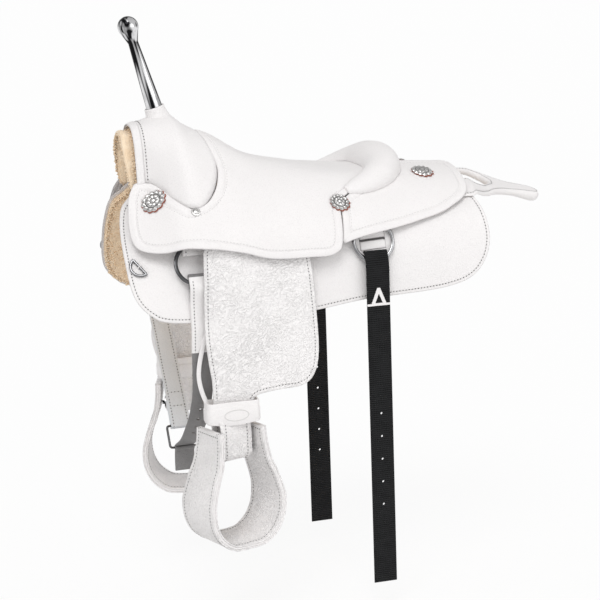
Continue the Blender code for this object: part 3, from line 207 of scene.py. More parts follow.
# %% Node groups
class Group(Nodes):
    """A shader node group. It puts out a colour, a roughness and a normal."""

    def __init__(self, name, **inputs):
        super().__init__(bpy.data.node_groups.new(name, "ShaderNodeTree"))
        face = self.tree.interface
        for label, value in inputs.items():
            kind = "NodeSocketColor" if value is None else "NodeSocketFloat"
            socket = face.new_socket(label, in_out="INPUT", socket_type=kind)
            if value is not None:
                socket.default_value = value
        for label, kind in (("Color", "Color"), ("Roughness", "Float"), ("Normal", "Vector")):
            face.new_socket(label, in_out="OUTPUT", socket_type="NodeSocket" + kind)
        self.given = self.tree.nodes.new("NodeGroupInput").outputs
        self.end = self.tree.nodes.new("NodeGroupOutput")

    def place(self):
        return self.node("TexCoord").outputs["Object"]

    def shade(self):
        """Painted shade at the mesh's rims, grooves and creases, and its engraving's dark lines."""
        return self.node("Attribute", attribute_name="shade").outputs["Fac"]

    def out(self, *values):
        for socket, value in zip(self.end.inputs, values):
            self.tree.links.new(value, socket)
        return self.tree


def grain_group():
    """Pebbled leather: pebbles and slanting folds, with painted shade in valleys, rims and grooves.
    """
    g = Group("pebbled_grain", Leather=None, Shade_and_mottle=None, Scale=420.0, Depth=0.3, Edge_shade=0.5,
              Wrinkle=0.0)
    place, wrinkle = g.place(), g.given["Wrinkle"]
    pebble = g.node("TexVoronoi", {"Vector": place, "Scale": g.given["Scale"]},
                    feature="F1").outputs["Distance"]
    wander = g.noise(place, 55.0, 4.0)
    tone = g.noise(place, 9.0, 3.0)
    dome = g.math("SUBTRACT", 1.0, g.math("POWER", pebble, 2.0))
    slanted = g.node("Mapping", {"Vector": place, "Rotation": (0.0, -0.6, 0.0),
                                 "Scale": (2.0, 1.0, 1.0)}, vector_type="TEXTURE").outputs[0]
    folds = g.math("ABSOLUTE", g.math("SUBTRACT", g.noise(slanted, 190.0, 2.0, 0.4), 0.5))
    folds = g.span(folds, 0.0, 0.07, 1.0, 0.0)
    crease = g.math("MULTIPLY", folds, g.span(tone, 0.40, 0.60, 0.45, 1.0))
    crease = g.math("MULTIPLY", crease, wrinkle)
    height = g.math("SUBTRACT", g.math("MULTIPLY_ADD", wander, 0.8, dome), crease)
    deep = g.math("MULTIPLY_ADD", wrinkle, 0.0007, 0.0009)
    # Painted shade: the pebbles' valleys are coloured darker, and more so in wrinkled hides.
    valley_shade = g.math("MULTIPLY", g.span(pebble, 0.45, 0.85, 0.0, 0.07),
                    g.math("MULTIPLY_ADD", wrinkle, 1.2, 1.0))
    patch = g.span(tone, 0.35, 0.7, 0.0, 0.04)
    # Painted shade that the mesh carries at rims, grooves and creases, weighted by the edge input.
    edge = g.math("MULTIPLY", g.shade(), g.given["Edge_shade"])
    dark = g.math("MINIMUM", g.math("ADD", g.math("MAXIMUM", valley_shade, patch), edge), 1.0)
    # The second colour takes the painted shade and the random mottling.
    return g.out(g.mix(dark, g.given["Leather"], g.given["Shade_and_mottle"]),
                 g.span(wander, 0.3, 0.7, 0.46, 0.60), g.bump(g.given["Depth"], deep, height))


def pile_group():
    """Sheepskin pile: curly locks, coloured darker where they lie low, as painted shade."""
    g = Group("wool_pile", Wool=None, Pile_shade=None, Scale=160.0)
    place = g.place()
    curl = g.noise(place, g.given["Scale"], 5.0, 1.6)
    height = g.math("MULTIPLY_ADD", g.noise(place, 45.0, 2.0), 1.5, curl)
    # Painted shade: the pile darkens where it lies low between the locks.
    dark = g.math("MINIMUM", g.math("ADD", g.span(height, 0.95, 1.5, 0.75, 0.0), g.shade()), 1.0)
    return g.out(g.mix(dark, g.given["Wool"], g.given["Pile_shade"]),
                 g.span(curl, 0.3, 0.7, 0.85, 0.98), g.bump(0.7, 0.003, height))


def weave_group():
    """Webbing woven of two thread directions, read from the strap's own width and length."""
    g = Group("strap_weave", Thread=None, Gap_shade=None, Pitch=900.0)
    flat = g.node("UVMap").outputs[0]
    parts = g.node("SeparateXYZ", {0: flat}).outputs
    across, along = (g.math("SINE", g.math("MULTIPLY", parts[k], g.given["Pitch"])) for k in (0, 1))
    rib = g.math("MULTIPLY_ADD", g.math("MULTIPLY", across, along), 0.35, along)
    worn = g.span(g.noise(flat, 45.0, 3.0), 0.35, 0.65, 0.35, 1.1)
    fray = g.noise(flat, 700.0, 3.0)
    height = g.math("MULTIPLY_ADD", fray, 0.9, g.math("MULTIPLY", rib, worn))
    # Painted shade: the colour darkens from the threads' tops into the gaps between them.
    return g.out(g.mix(g.span(height, -0.6, 1.2), g.given["Gap_shade"], g.given["Thread"]),
                 g.span(fray, 0.3, 0.7, 0.62, 0.85), g.bump(0.9, 0.0012, height))


def metal_group():
    """Polished metal with dark bands of painted reflection, faint turning marks and cloudy patches.
    """
    g = Group("turned_metal", Metal=None, Tarnish_and_dark_reflection=None, Polish=0.15, Marks=500.0, Painted_reflection=0.0)
    place = g.place()
    reflection_place = g.node("Mapping", {"Vector": place, "Rotation": (0.0, -0.2705, 0.0),
                               "Scale": (1.0, 1.0, 40.0)}, vector_type="TEXTURE").outputs[0]
    long_marks = g.node("Mapping", {"Vector": place, "Scale": (0.2, 0.2, 1.0)}).outputs[0]
    lines = g.noise(long_marks, g.given["Marks"], 2.0)
    dull = g.span(g.noise(place, 30.0, 4.0), 0.4, 0.75, 0.0, 0.7)
    # Painted reflection: dark bands along the horn's axis stand in for the studio mirrored in the
    # steel; the engraving's dark lines join them.
    reflection_and_engraving = g.span(g.noise(reflection_place, 95.0, 1.0), 0.44, 0.56, 1.0, 0.0)
    reflection_and_engraving = g.math("MAXIMUM", g.math("MULTIPLY", reflection_and_engraving, g.given["Painted_reflection"]), g.shade())
    dark = g.math("MAXIMUM", dull, g.math("MINIMUM", reflection_and_engraving, 1.0))
    return g.out(g.mix(dark, g.given["Metal"], g.given["Tarnish_and_dark_reflection"]),
                 g.math("MULTIPLY_ADD", lines, 0.12, g.given["Polish"]),
                 g.bump(0.12, 0.0004, lines))


GRAIN = grain_group()
PILE = pile_group()
WEAVE = weave_group()
METAL = metal_group()

# %% [markdown]
# Each finish is a Principled material fed by one placed group.


def finish(name, slot, group, *values, metallic=0.0, sheen=0.0, gloss=0.5):
    """A material whose group takes the values in the order of the group's inputs."""
    mat = bpy.data.materials.new(name)
    mat.use_nodes = True
    tree = mat.node_tree
    shader = tree.nodes["Principled BSDF"].inputs
    shader["Metallic"].default_value = metallic
    shader["Sheen Weight"].default_value = sheen
    shader["Specular IOR Level"].default_value = gloss
    placed = tree.nodes.new("ShaderNodeGroup")
    placed.node_tree = group
    for socket, value in zip(placed.inputs, values):
        socket.default_value = (*value, 1.0) if hasattr(value, "__len__") else value
    for label, target in (("Color", "Base Color"), ("Roughness",) * 2, ("Normal",) * 2):
        tree.links.new(placed.outputs[label], shader[target])
    mat.diffuse_color = (*values[0], 1.0)
    return mat


# crease is the colour of painted shade in valleys, grooves and at rims, and of random mottling;
# edge sets the strength of the painted shade at rims and grooves.
def leather(name, slot, colour, crease, scale, depth, edge, wrinkle=0.0):
    return finish(name, slot, GRAIN, colour, crease, scale, depth, edge, wrinkle)


def metal(name, slot, colour, tarnish_and_dark_reflection, polish, marks, reflection_and_engraving=0.0):
    return finish(name, slot, METAL, colour, tarnish_and_dark_reflection, polish, marks, reflection_and_engraving, metallic=1.0)


HIDE = "white_leather"
# The second colour of each leather is its painted shade colour, also used for random mottling.
LEATHER = leather("white_leather", HIDE, (0.880, 0.858, 0.854), (0.42, 0.40, 0.40),
                  480.0, 0.34, 0.8, 0.5)
COARSE_LEATHER = leather("tumbled_leather", HIDE, (0.940, 0.918, 0.914), (0.40, 0.385, 0.38),
                         260.0, 0.8, 0.8, 1.0)
# Painted shade: a darker, cooler copy of the white leather for the off cinch strap, which hangs in
# shade and takes warm light from the fleece.
SHADED_CINCH_LEATHER = leather("shaded_cinch_leather", HIDE, (0.78, 0.80, 0.825), (0.38, 0.38, 0.40),
                        420.0, 0.5, 0.9, 0.6)
RIM_LEATHER = leather("red_brown_leather", HIDE, (0.30, 0.085, 0.055), (0.12, 0.04, 0.03),
                      700.0, 0.3, 0.4)
THREAD = leather("waxed_thread", HIDE, (0.70, 0.69, 0.68), (0.45, 0.44, 0.43), 900.0, 0.3, 0.5)
# Painted shade: a near-black leather for needle holes and for the cut between the ring pads.
HOLE_SHADE = leather("painted_hole_shade", HIDE, (0.07, 0.065, 0.065), (0.04, 0.04, 0.04),
                      900.0, 0.1, 0.0)
PEBBLED_GREY = leather("pebbled_grey", "grey_webbing", (0.21, 0.205, 0.205), (0.06, 0.06, 0.06),
                       330.0, 1.0, 0.6)
TREE_WOOD = leather("tree_wood", "tree_wood", (0.50, 0.36, 0.22), (0.28, 0.18, 0.10),
                    90.0, 0.3, 0.0)
PAD_FOAM = leather("seat_foam", "seat_foam", (0.66, 0.60, 0.44), (0.45, 0.40, 0.28),
                   700.0, 0.6, 0.0)
# The fleece's second colour is its painted shade deep in the pile.
WOOL = finish("tan_sheepskin", "fleece", PILE, (0.95, 0.78, 0.58), (0.84, 0.63, 0.42), 170.0,
              sheen=0.3)
# The nylon's second colour is its painted shade between the threads.
NYLON = finish("black_nylon", "black_nylon", WEAVE, (0.019, 0.0195, 0.021),
               (0.001, 0.001, 0.001), 1400.0, gloss=0.22)
# Steel carries the dark bands of painted reflection at full strength.
STEEL = metal("polished_steel", "polished_steel", (0.78, 0.78, 0.79), (0.010, 0.010, 0.011),
              0.12, 500.0, 1.0)
DARK_STEEL = metal("dark_steel", "dark_steel", (0.13, 0.13, 0.135), (0.05, 0.05, 0.05),
                   0.26, 700.0)
CHROME = metal("chrome", "chrome", (0.50, 0.50, 0.51), (0.08, 0.08, 0.085), 0.10, 600.0)
SMOKED_CHROME = metal("smoked_chrome", "chrome", (0.33, 0.33, 0.34), (0.05, 0.05, 0.05),
                      0.12, 600.0)
SILVER = metal("silver_rosette", "silver_rosette", (0.84, 0.83, 0.82), (0.07, 0.065, 0.065),
               0.24, 900.0)
# %% [markdown]
# The leather lies on a few curved surfaces: the side over the bars, the seat and jockeys, the
# fork's swell, the hand hold and the hanging fender. Each is given by cross sections at
# stations along the saddle, the same ones that shaped the solids. A surface is walked by x
# along the saddle and by s, the way down its side from the centre line.

# %% Cross sections of the surfaces
SKIRT_SECTIONS = {
    -0.43: [(0, .150), (.048, .075), (.082, .015), (.120, -.035),
            (.155, -.085), (.182, -.135), (.198, -.19), (.200, -.25)],
    -0.30: [(0, .100), (.055, .065), (.105, .020), (.148, -.025),
            (.180, -.075), (.198, -.13), (.206, -.19), (.208, -.25)],
    -0.05: [(0, .055), (.060, .045), (.115, .018), (.162, -.020),
            (.190, -.065), (.204, -.12), (.208, -.18), (.208, -.25)],
    0.10: [(0, .055), (.065, .048), (.125, .025), (.172, -.008),
           (.197, -.050), (.207, -.11), (.209, -.175), (.209, -.25)],
    0.40: [(0, .060), (.070, .053), (.130, .032), (.172, .000),
           (.196, -.045), (.207, -.105), (.210, -.17), (.210, -.25)],
}
TOP_SECTIONS = {
    -0.42: [(0, .168), (.060, .088), (.094, .028), (.134, -.025),
            (.168, -.072), (.193, -.12), (.205, -.17)],
    -0.35: [(0, .165), (.070, .105), (.118, .050), (.165, .000),
            (.196, -.045), (.214, -.09), (.219, -.13)],
    -0.30: [(0, .175), (.075, .130), (.130, .080), (.182, .025),
            (.216, -.018), (.229, -.06), (.231, -.10)],
    -0.22: [(0, .198), (.065, .175), (.120, .115), (.171, .050),
            (.215, -.005), (.229, -.055), (.231, -.10)],
    -0.12: [(0, .142), (.060, .133), (.112, .105), (.164, .060),
            (.213, .003), (.229, -.048), (.231, -.10)],
    -0.03: [(0, .117), (.060, .113), (.112, .098), (.163, .060),
            (.212, .005), (.229, -.045), (.231, -.10)],
    0.07: [(0, .096), (.060, .098), (.115, .090), (.165, .055),
           (.205, .010), (.222, -.040), (.226, -.10)],
    0.20: [(0, .097), (.060, .090), (.115, .072), (.160, .038),
           (.193, -.005), (.210, -.055), (.215, -.11)],
    0.42: [(0, .080), (.060, .073), (.110, .056), (.150, .030),
           (.180, -.006), (.200, -.050), (.206, -.095)],
}
FORK_SECTIONS = {
    -0.40: [(0, .206), (.028, .198), (.048, .172), (.057, .138), (.063, .100), (.068, .07)],
    -0.35: [(0, .222), (.036, .212), (.060, .182), (.069, .140), (.074, .100), (.080, .06)],
    -0.33: [(0, .229), (.040, .217), (.072, .183), (.087, .138), (.096, .092), (.104, .05)],
    -0.31: [(0, .234), (.045, .221), (.083, .184), (.108, .132), (.129, .074), (.137, .04)],
    -0.28: [(0, .235), (.050, .222), (.097, .185), (.136, .125), (.163, .053), (.168, .02)],
    -0.25: [(0, .212), (.050, .202), (.097, .172), (.135, .122), (.163, .060), (.168, .03)],
    -0.20: [(0, .185), (.042, .180), (.084, .156), (.113, .120), (.138, .080), (.150, .05)],
}
HAND_HOLD_SECTIONS = {
    0.29: [(0, .0625), (.0703, .0557), (.1313, .0345), (.1752, .0005),
           (.200, -.0445), (.211, -.10)],
    0.36: [(0, .0643), (.0709, .0570), (.1321, .0357), (.1752, .0026),
           (.200, -.0436), (.211, -.10)],
    0.372: [(0, .0618), (.0672, .0550), (.1258, .0354), (.1683, .0045),
            (.1948, -.0385), (.2075, -.09)],
    0.386: [(0, .0565), (.0595, .0510), (.1115, .0350), (.1540, .0085),
            (.1850, -.0280), (.2000, -.068)],
    0.404: [(0, .0480), (.0490, .0445), (.0930, .0330), (.1325, .0120),
            (.1680, -.0140), (.1880, -.04)],
    0.46: [(0, .024), (.040, .023), (.070, .019), (.100, .011), (.130, .001), (.150, -.01)],
    0.52: [(0, .006), (.030, .005), (.050, .002), (.080, -.004), (.110, -.01), (.130, -.02)],
    0.58: [(0, -.012), (.030, -.013), (.050, -.016), (.080, -.02), (.110, -.03), (.130, -.04)],
}
FENDER_SIDE = [(.199, -.008), (.2025, -.020), (.2085, -.045), (.2180, -.090), (.22125, -.130),
               (.22125, -.40)]


# %% Smooth curves and surfaces
def spline(points, steps):
    """Points of a smooth curve that passes through the given ones."""
    pts = [np.array(p, float) for p in points]
    ext = [2 * pts[0] - pts[1]] + pts + [2 * pts[-1] - pts[-2]]
    out = []
    for a, b, c, d in zip(ext, ext[1:], ext[2:], ext[3:]):
        for k in range(steps):
            t = k / steps
            out.append(0.5 * (2 * b + (c - a) * t + (2 * a - 5 * b + 4 * c - d) * t**2
                              + (3 * b - a - 3 * c + d) * t**3))
    out.append(pts[-1])
    return out


def smooth_value(stations, values, x):
    """Cubic interpolation of rows of values between stations."""
    x = min(max(x, stations[0]), stations[-1])
    last = len(stations) - 2
    i = max(0, min(last, int(np.searchsorted(stations, x, side="right")) - 1))

    def slope(k):
        low, high = max(k - 1, 0), min(k + 1, last + 1)
        return (values[high] - values[low]) / (stations[high] - stations[low])

    span = stations[i + 1] - stations[i]
    t = (x - stations[i]) / span
    start = (2 * t**3 - 3 * t**2 + 1) * values[i] + (t**3 - 2 * t**2 + t) * span * slope(i)
    end = (3 * t**2 - 2 * t**3) * values[i + 1] + (t**3 - t**2) * span * slope(i + 1)
    return start + end


def ramp(value, start, end):
    """0 before start, 1 after end, straight between."""
    return np.clip((np.asarray(value) - start) / (end - start), 0.0, 1.0)


def bell(value, middle, width):
    """A soft bump of height 1 round the middle."""
    return np.exp(-((np.asarray(value) - middle) / width) ** 2)


class Form:
    """A curved surface, read from a fine table of places and normals."""

    STEP = 0.003

    def __init__(self, sections, reach=0.46, crown=0.012):
        stations = sorted(sections)
        profiles = np.array([sections[x] for x in stations], float)
        self.x0 = stations[0]
        xs = np.arange(self.x0, stations[-1] + self.STEP, self.STEP)
        ways = np.arange(0.0, reach, self.STEP)
        crowned = np.sqrt(ways**2 + crown**2)
        rows = []
        for x in xs:
            curve = np.array(spline(smooth_value(stations, profiles, x), 12))
            arc = np.concatenate([[0], np.cumsum(np.linalg.norm(np.diff(curve, axis=0), axis=1))])
            end = (curve[-1] - curve[-2]) / (arc[-1] - arc[-2])
            past = np.maximum(ways - arc[-1], 0.0)
            y = np.interp(ways, arc, curve[:, 0]) + end[0] * past
            z = np.interp(crowned, arc, curve[:, 1]) + end[1] * past
            rows.append(np.stack([np.full_like(y, x), y, z], axis=1))
        self.places = np.array(rows)
        along = np.gradient(self.places, self.STEP, axis=0)
        down = np.gradient(self.places, self.STEP, axis=1)
        down[:, 0, 2] = 0.0 if crown > 0 else down[:, 0, 2]
        normals = np.cross(along, down)
        self.normals = normals / np.linalg.norm(normals, axis=2, keepdims=True)

    def look_up(self, table, x, s):
        u = np.clip((x - self.x0) / self.STEP, 0, table.shape[0] - 1.001)
        v = np.clip(np.abs(s) / self.STEP, 0, table.shape[1] - 1.001)
        i, j = u.astype(int), v.astype(int)
        a, b = (u - i)[:, None], (v - j)[:, None]
        out = (table[i, j] * (1 - a) * (1 - b) + table[i + 1, j] * a * (1 - b)
               + table[i, j + 1] * (1 - a) * b + table[i + 1, j + 1] * a * b)
        out[:, 1] *= np.where(np.asarray(s) < 0, -1.0, 1.0)
        return out

    def normal(self, x, s):
        x, s = np.atleast_1d(x).astype(float), np.atleast_1d(s).astype(float)
        n = self.look_up(self.normals, x, s)
        return n / np.linalg.norm(n, axis=1, keepdims=True)

    def place(self, x, s, lift=0.0):
        x, s = np.atleast_1d(x).astype(float), np.atleast_1d(s).astype(float)
        lift = np.broadcast_to(lift, x.shape)
        return self.look_up(self.places, x, s) + self.normal(x, s) * lift[:, None]

    def s_at(self, x, z):
        """How far down the side the surface reaches the height z."""
        column = self.places[int(round((x - self.x0) / self.STEP))]
        return float(np.interp(-z, -column[:, 2], np.arange(len(column)) * self.STEP))


SKIRT = Form(SKIRT_SECTIONS)
TOP = Form(TOP_SECTIONS)
FORK = Form(FORK_SECTIONS)
HAND_HOLD = Form(HAND_HOLD_SECTIONS)
FENDER = Form({-0.5: FENDER_SIDE, 0.2: FENDER_SIDE}, crown=0.0)
print("surfaces ready")


# %% Meshes and pieces
def mesh_object(name, verts, faces, uvs=None):
    mesh = bpy.data.meshes.new(name)
    mesh.from_pydata([tuple(float(c) for c in v) for v in verts], [], [tuple(f) for f in faces])
    if uvs is not None:
        flat = [c for uv in uvs for c in uv]
        mesh.uv_layers.new(name="strap_uv").data.foreach_set("uv", flat)
    return linked(name, mesh)


def set_shade(obj, values):
    """Gives each point the darkness the material's group reads: painted shade, or engraved lines.
    """
    layer = obj.data.attributes.new("shade", "FLOAT", "POINT")
    layer.data.foreach_set("value", np.asarray(values, np.float32))


def select_only(obj):
    bpy.ops.object.select_all(action="DESELECT")
    obj.select_set(True)
    bpy.context.view_layer.objects.active = obj


def apply_modifier(obj, kind, **settings):
    select_only(obj)
    mod = obj.modifiers.new(kind.lower(), kind)
    for key, value in settings.items():
        setattr(mod, key, value)
    bpy.ops.object.modifier_apply(modifier=mod.name)


def face_outwards(obj, merge=1e-6):
    select_only(obj)
    bpy.ops.object.mode_set(mode="EDIT")
    bpy.ops.mesh.select_all(action="SELECT")
    bpy.ops.mesh.remove_doubles(threshold=merge)
    bpy.ops.mesh.normals_make_consistent(inside=False)
    bpy.ops.object.mode_set(mode="OBJECT")


def dress(obj, mat, body, *replaced, angle=50):
    """Gives a piece its material, shading and body, and hides the solids it stands for."""
    obj.data.materials.clear()
    obj.data.materials.append(mat)
    select_only(obj)
    bpy.ops.object.shade_smooth_by_angle(angle=math.radians(angle))
    bpy.ops.object.select_all(action="DESELECT")
    if replaced:
        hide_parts(*replaced)
    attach(obj, body)
    return obj


def mirrored(obj, name):
    """The near-side twin of a piece made for the off side."""
    twin = obj.copy()
    twin.data = obj.data.copy()
    twin.name = twin.data.name = name
    bpy.context.scene.collection.objects.link(twin)
    twin.data.transform(Matrix.Diagonal((1, -1, 1, 1)))
    twin.data.flip_normals()
    return twin


def pair(obj, mat, body, node="", angle=50):
    """Dress an off-side piece and its near-side twin. A star in a name stands for the side."""
    near = mirrored(obj, obj.name.replace("_off", "_near"))
    for piece, label in ((obj, "off"), (near, "near")):
        nodes = [node.replace("*", label)] if node else []
        dress(piece, mat, body.replace("*", label), *nodes, angle=angle)


# %% [markdown]
# A leather panel is cut from its pattern: the outline is filled with a fine net of triangles
# whose outer rows follow the edge, laid on its curved surface, and given the leather's
# thickness with Solidify. The rows along the edge let the rim be rounded, the stitching sit in
# its groove and a border stand up, all in the mesh. A plain grid would leave a ragged edge.

# %% Cutting a pattern
EDGE_ROWS = (0.0005, 0.0011, 0.0020, 0.0035, 0.0052, 0.0068, 0.0084, 0.0100, 0.0120, 0.0142,
             0.0160, 0.0178, 0.0200)


def run_of(points):
    """How far along a line each of its points lies."""
    steps = np.linalg.norm(np.diff(points, axis=0), axis=1)
    return np.concatenate([[0], np.cumsum(steps)])


def closed_line(points, spacing):
    """The same closed line with points at even spacing."""
    pts = np.array(points, float)
    pts = np.vstack([pts, pts[:1]])
    lengths = run_of(pts)
    count = max(8, int(round(lengths[-1] / spacing)))
    at = np.linspace(0, lengths[-1], count, endpoint=False)
    return np.stack([np.interp(at, lengths, pts[:, k]) for k in (0, 1)], axis=1)


def turn_of(line):
    nxt = np.roll(line, -1, axis=0)
    return 0.5 * float(np.sum(line[:, 0] * nxt[:, 1] - nxt[:, 0] * line[:, 1]))


def edge_distance(points, line):
    """Each point's distance from a closed line, positive inside it."""
    a, b = line, np.roll(line, -1, axis=0)
    step = b - a
    size = np.sum(step**2, axis=1)
    out = []
    for block in np.array_split(np.asarray(points, float), max(1, len(points) // 2500)):
        rel = block[:, None, :] - a[None]
        t = np.clip(np.sum(rel * step, axis=2) / size, 0, 1)
        away = np.sqrt(np.min(np.sum((rel - t[..., None] * step) ** 2, axis=2), axis=1))
        crosses = (a[None, :, 1] > block[:, 1:2]) != (b[None, :, 1] > block[:, 1:2])
        slope = step[:, 0] / np.where(step[:, 1] == 0, 1e-12, step[:, 1])
        meet = a[None, :, 0] + (block[:, 1:2] - a[None, :, 1]) * slope
        inside = np.sum(crosses & (block[:, 0:1] < meet), axis=1) % 2 == 1
        out.append(np.where(inside, away, -away))
    return np.concatenate(out)


def inward(line):
    """Unit directions square to a closed line, pointing into it."""
    along = np.roll(line, -1, axis=0) - np.roll(line, 1, axis=0)
    along /= np.linalg.norm(along, axis=1, keepdims=True)
    return np.stack([-along[:, 1], along[:, 0]], axis=1) * (1 if turn_of(line) > 0 else -1)


def inner_row(line, inset):
    """The closed line moved inwards, without points that a tight corner pushes to the edge."""
    row = line + inward(line) * inset
    return row[edge_distance(row, line) > inset * 0.97]


def cut_pattern(outline, cell=0.006, rows=EDGE_ROWS):
    """Flat points and triangles over an outline, and each point's distance from its edge."""
    line = closed_line(outline, cell * 0.75)
    pts = [line] + [inner_row(line, r) for r in rows]
    low, high = line.min(axis=0), line.max(axis=0)
    xs, ys = np.arange(low[0], high[0], cell), np.arange(low[1], high[1], cell * 0.866)
    grid = np.array([(x + (cell / 2 if k % 2 else 0), y) for k, y in enumerate(ys) for x in xs])
    grid = grid[edge_distance(grid, line) > rows[-1] + cell * 0.5]
    pts = np.vstack(pts + [grid])
    count = len(line)
    rim = [(k, (k + 1) % count) for k in range(count)]
    flat, _, tris, *_ = delaunay_2d_cdt([Vector(p) for p in pts], rim, [], 1, 1e-7)
    flat = np.array([tuple(p) for p in flat])
    return flat, [tuple(t) for t in tris], np.maximum(edge_distance(flat, line), 0.0), line


def rim_drop(d, radius=0.0018):
    """How far a rounded rim falls below the leather's face at distance d from the edge."""
    inside = np.clip(radius - d, 0, radius)
    return radius - np.sqrt(np.maximum(radius**2 - inside**2, 0.0))

# %% Laying leather on a form
# Painted shade: the rim darkens, partly the raw edge's own colour and partly painted shadow under
# it; the stitching groove darkens too.
RIM_SHADE, RIM_SHADE_WIDTH = 0.55, 0.0014
GROOVE_SHADE, GROOVE_DEPTH, GROOVE_WIDTH = 0.08, 0.0006, 0.0011
STITCH_INSET = 0.008


def valued(amount, x, s):
    """A number, or a function of the place, as one value for each point."""
    return amount(x, s) if callable(amount) else np.full(len(x), amount)


def laid(name, form, flat, tris, height):
    """A flat net laid on a form at a height, with its faces turned away from the form."""
    x, s = flat[:, 0], flat[:, 1]
    obj = mesh_object(name, form.place(x, s, height), tris)
    a, b, c = (np.array(obj.data.vertices[k].co) for k in tris[0])
    first = tris[0][0]
    if np.dot(np.cross(b - a, c - a), form.normal(x[first], s[first])[0]) < 0:
        obj.data.flip_normals()
    return obj


def thicken(obj, thick):
    apply_modifier(obj, "SOLIDIFY", thickness=thick, offset=-1.0, use_even_offset=False)
    return obj


def panel(name, form, outline, thick, lift=0.0, stitch_at=0.0, relief=None, cell=0.006,
          shade=None):
    """A leather panel on a form: rounded rim, stitching groove and any further relief."""
    flat, tris, d, _ = cut_pattern(outline, cell)
    x, s = flat[:, 0], flat[:, 1]
    groove = bell(d, stitch_at, GROOVE_WIDTH) if stitch_at else np.zeros(len(x))
    height = valued(lift, x, s) - rim_drop(d) - GROOVE_DEPTH * groove
    # Painted shade at the rim and in the stitching groove.
    dark = RIM_SHADE * bell(d, 0.0, RIM_SHADE_WIDTH) + GROOVE_SHADE * groove
    if relief is not None:
        height = height + relief(d)
    if shade is not None:
        dark = dark + shade(d)
    obj = laid(name, form, flat, tris, height)
    set_shade(obj, dark)
    return thicken(obj, thick)


def both_sides(outline):
    """An outline that ends on the centre line, joined to its mirror image."""
    return list(outline) + [(x, -s) for x, s in reversed(outline) if s > 1e-6]


# %% [markdown]
# Every edge is sewn with thick waxed thread. One stitch and one needle hole are modelled, from
# small spheres, and copied along a row inside each edge. At arm's length the dark holes
# between the stitches are what the eye sees, so both are in the mesh. The holes are coloured
# near black, as painted shade where shade falls into them.

# %% Sewing
STITCH_PITCH = 0.0070
LONGEST_STITCH = 2.2 * STITCH_PITCH
STITCH_SIZE = (0.0020, 0.00075, 0.00060)
HOLE_SIZE = (0.00135, 0.00135, 0.00060)


def small_ball(segments, rows, size):
    """The vertices and faces of a small scaled sphere primitive."""
    bpy.ops.mesh.primitive_uv_sphere_add(segments=segments, ring_count=rows, radius=1.0)
    ball = bpy.context.active_object
    bpy.ops.object.mode_set(mode="EDIT")
    bpy.ops.mesh.select_all(action="SELECT")
    bpy.ops.transform.rotate(value=math.pi / 2, orient_axis="Y", center_override=(0, 0, 0))
    bpy.ops.transform.resize(value=size, center_override=(0, 0, 0))
    bpy.ops.object.mode_set(mode="OBJECT")
    verts = np.array([v.co for v in ball.data.vertices])
    faces = [tuple(f.vertices) for f in ball.data.polygons]
    bpy.data.objects.remove(ball)
    return verts, faces


STITCH = small_ball(6, 4, STITCH_SIZE)
HOLE = small_ball(6, 3, HOLE_SIZE)


def even_row(places, normals, pitch=STITCH_PITCH, closed=False):
    """Places and normals at an even pitch along a row in space."""
    pts = np.vstack([places, places[:1]]) if closed else np.asarray(places)
    nrm = np.vstack([normals, normals[:1]]) if closed else np.asarray(normals)
    run = run_of(pts)
    at = np.linspace(0, run[-1], max(2, int(run[-1] / pitch)) + 1)
    spots, ups = (np.stack([np.interp(at, run, table[:, k]) for k in range(3)], axis=1)
                  for table in (pts, nrm))
    return spots, ups / np.linalg.norm(ups, axis=1, keepdims=True)


def sew(name, rows, body, side=1, holes=True):
    """One mesh of stitches, and needle holes if wanted, along rows of (places, normals)."""
    verts, faces, marks, count = [], [], [], 0
    for places, normals in rows:
        if len(places) < 2:
            continue
        ahead = places[1:] - places[:-1]
        gap = np.linalg.norm(ahead, axis=1)
        for k in range(len(ahead)):
            if gap[k] > LONGEST_STITCH or gap[k] < 1e-5:
                continue
            along, up = ahead[k] / gap[k], normals[k]
            over = np.cross(up, along)
            parts = [(STITCH, (places[k] + places[k + 1]) / 2, 0), (HOLE, places[k], 1)]
            for (shape, sides), centre, mark in parts[:2 if holes else 1]:
                verts.append(centre + shape[:, :1] * along + shape[:, 1:2] * over
                             + shape[:, 2:] * up)
                faces += [tuple(v + count for v in f) for f in sides]
                marks += [mark] * len(sides)
                count += len(shape)
    obj = mesh_object(name, np.vstack(verts) * (1, side, 1), faces)
    obj.data.materials.append(THREAD)
    # The needle holes take the near-black colour of painted shade.
    obj.data.materials.append(HOLE_SHADE)
    obj.data.polygons.foreach_set("material_index", marks)
    if side < 0:
        obj.data.flip_normals()
    obj.data.shade_smooth()
    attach(obj, body)


def sew_pair(name, rows, body, holes=True):
    for label, side in SIDES:
        sew(f"{name}_{label}", rows, body.replace("*", label), side, holes)


def pattern_row(form, outline, inset, lift, keep):
    """A row of sewing at an inset from a pattern's edge, split where keep(x, y, z) is false."""
    x, s = inner_row(closed_line(outline, 0.003), inset).T
    places, normals = even_row(form.place(x, s, lift), form.normal(x, s), closed=True)
    kept = np.array([keep(*p) for p in places])
    far_away = 1e3 * np.arange(len(places))[:, None] + 50.0
    return np.where(kept[:, None], places, far_away), normals


# %% [markdown]
# The skirts are the big lower panels that the fleece is glued under. Their outline is the
# pattern that a saddler would cut, with a row of stitches 8 mm inside the edge. The off
# skirt's front lower corner is cut back a little more than the near one's.

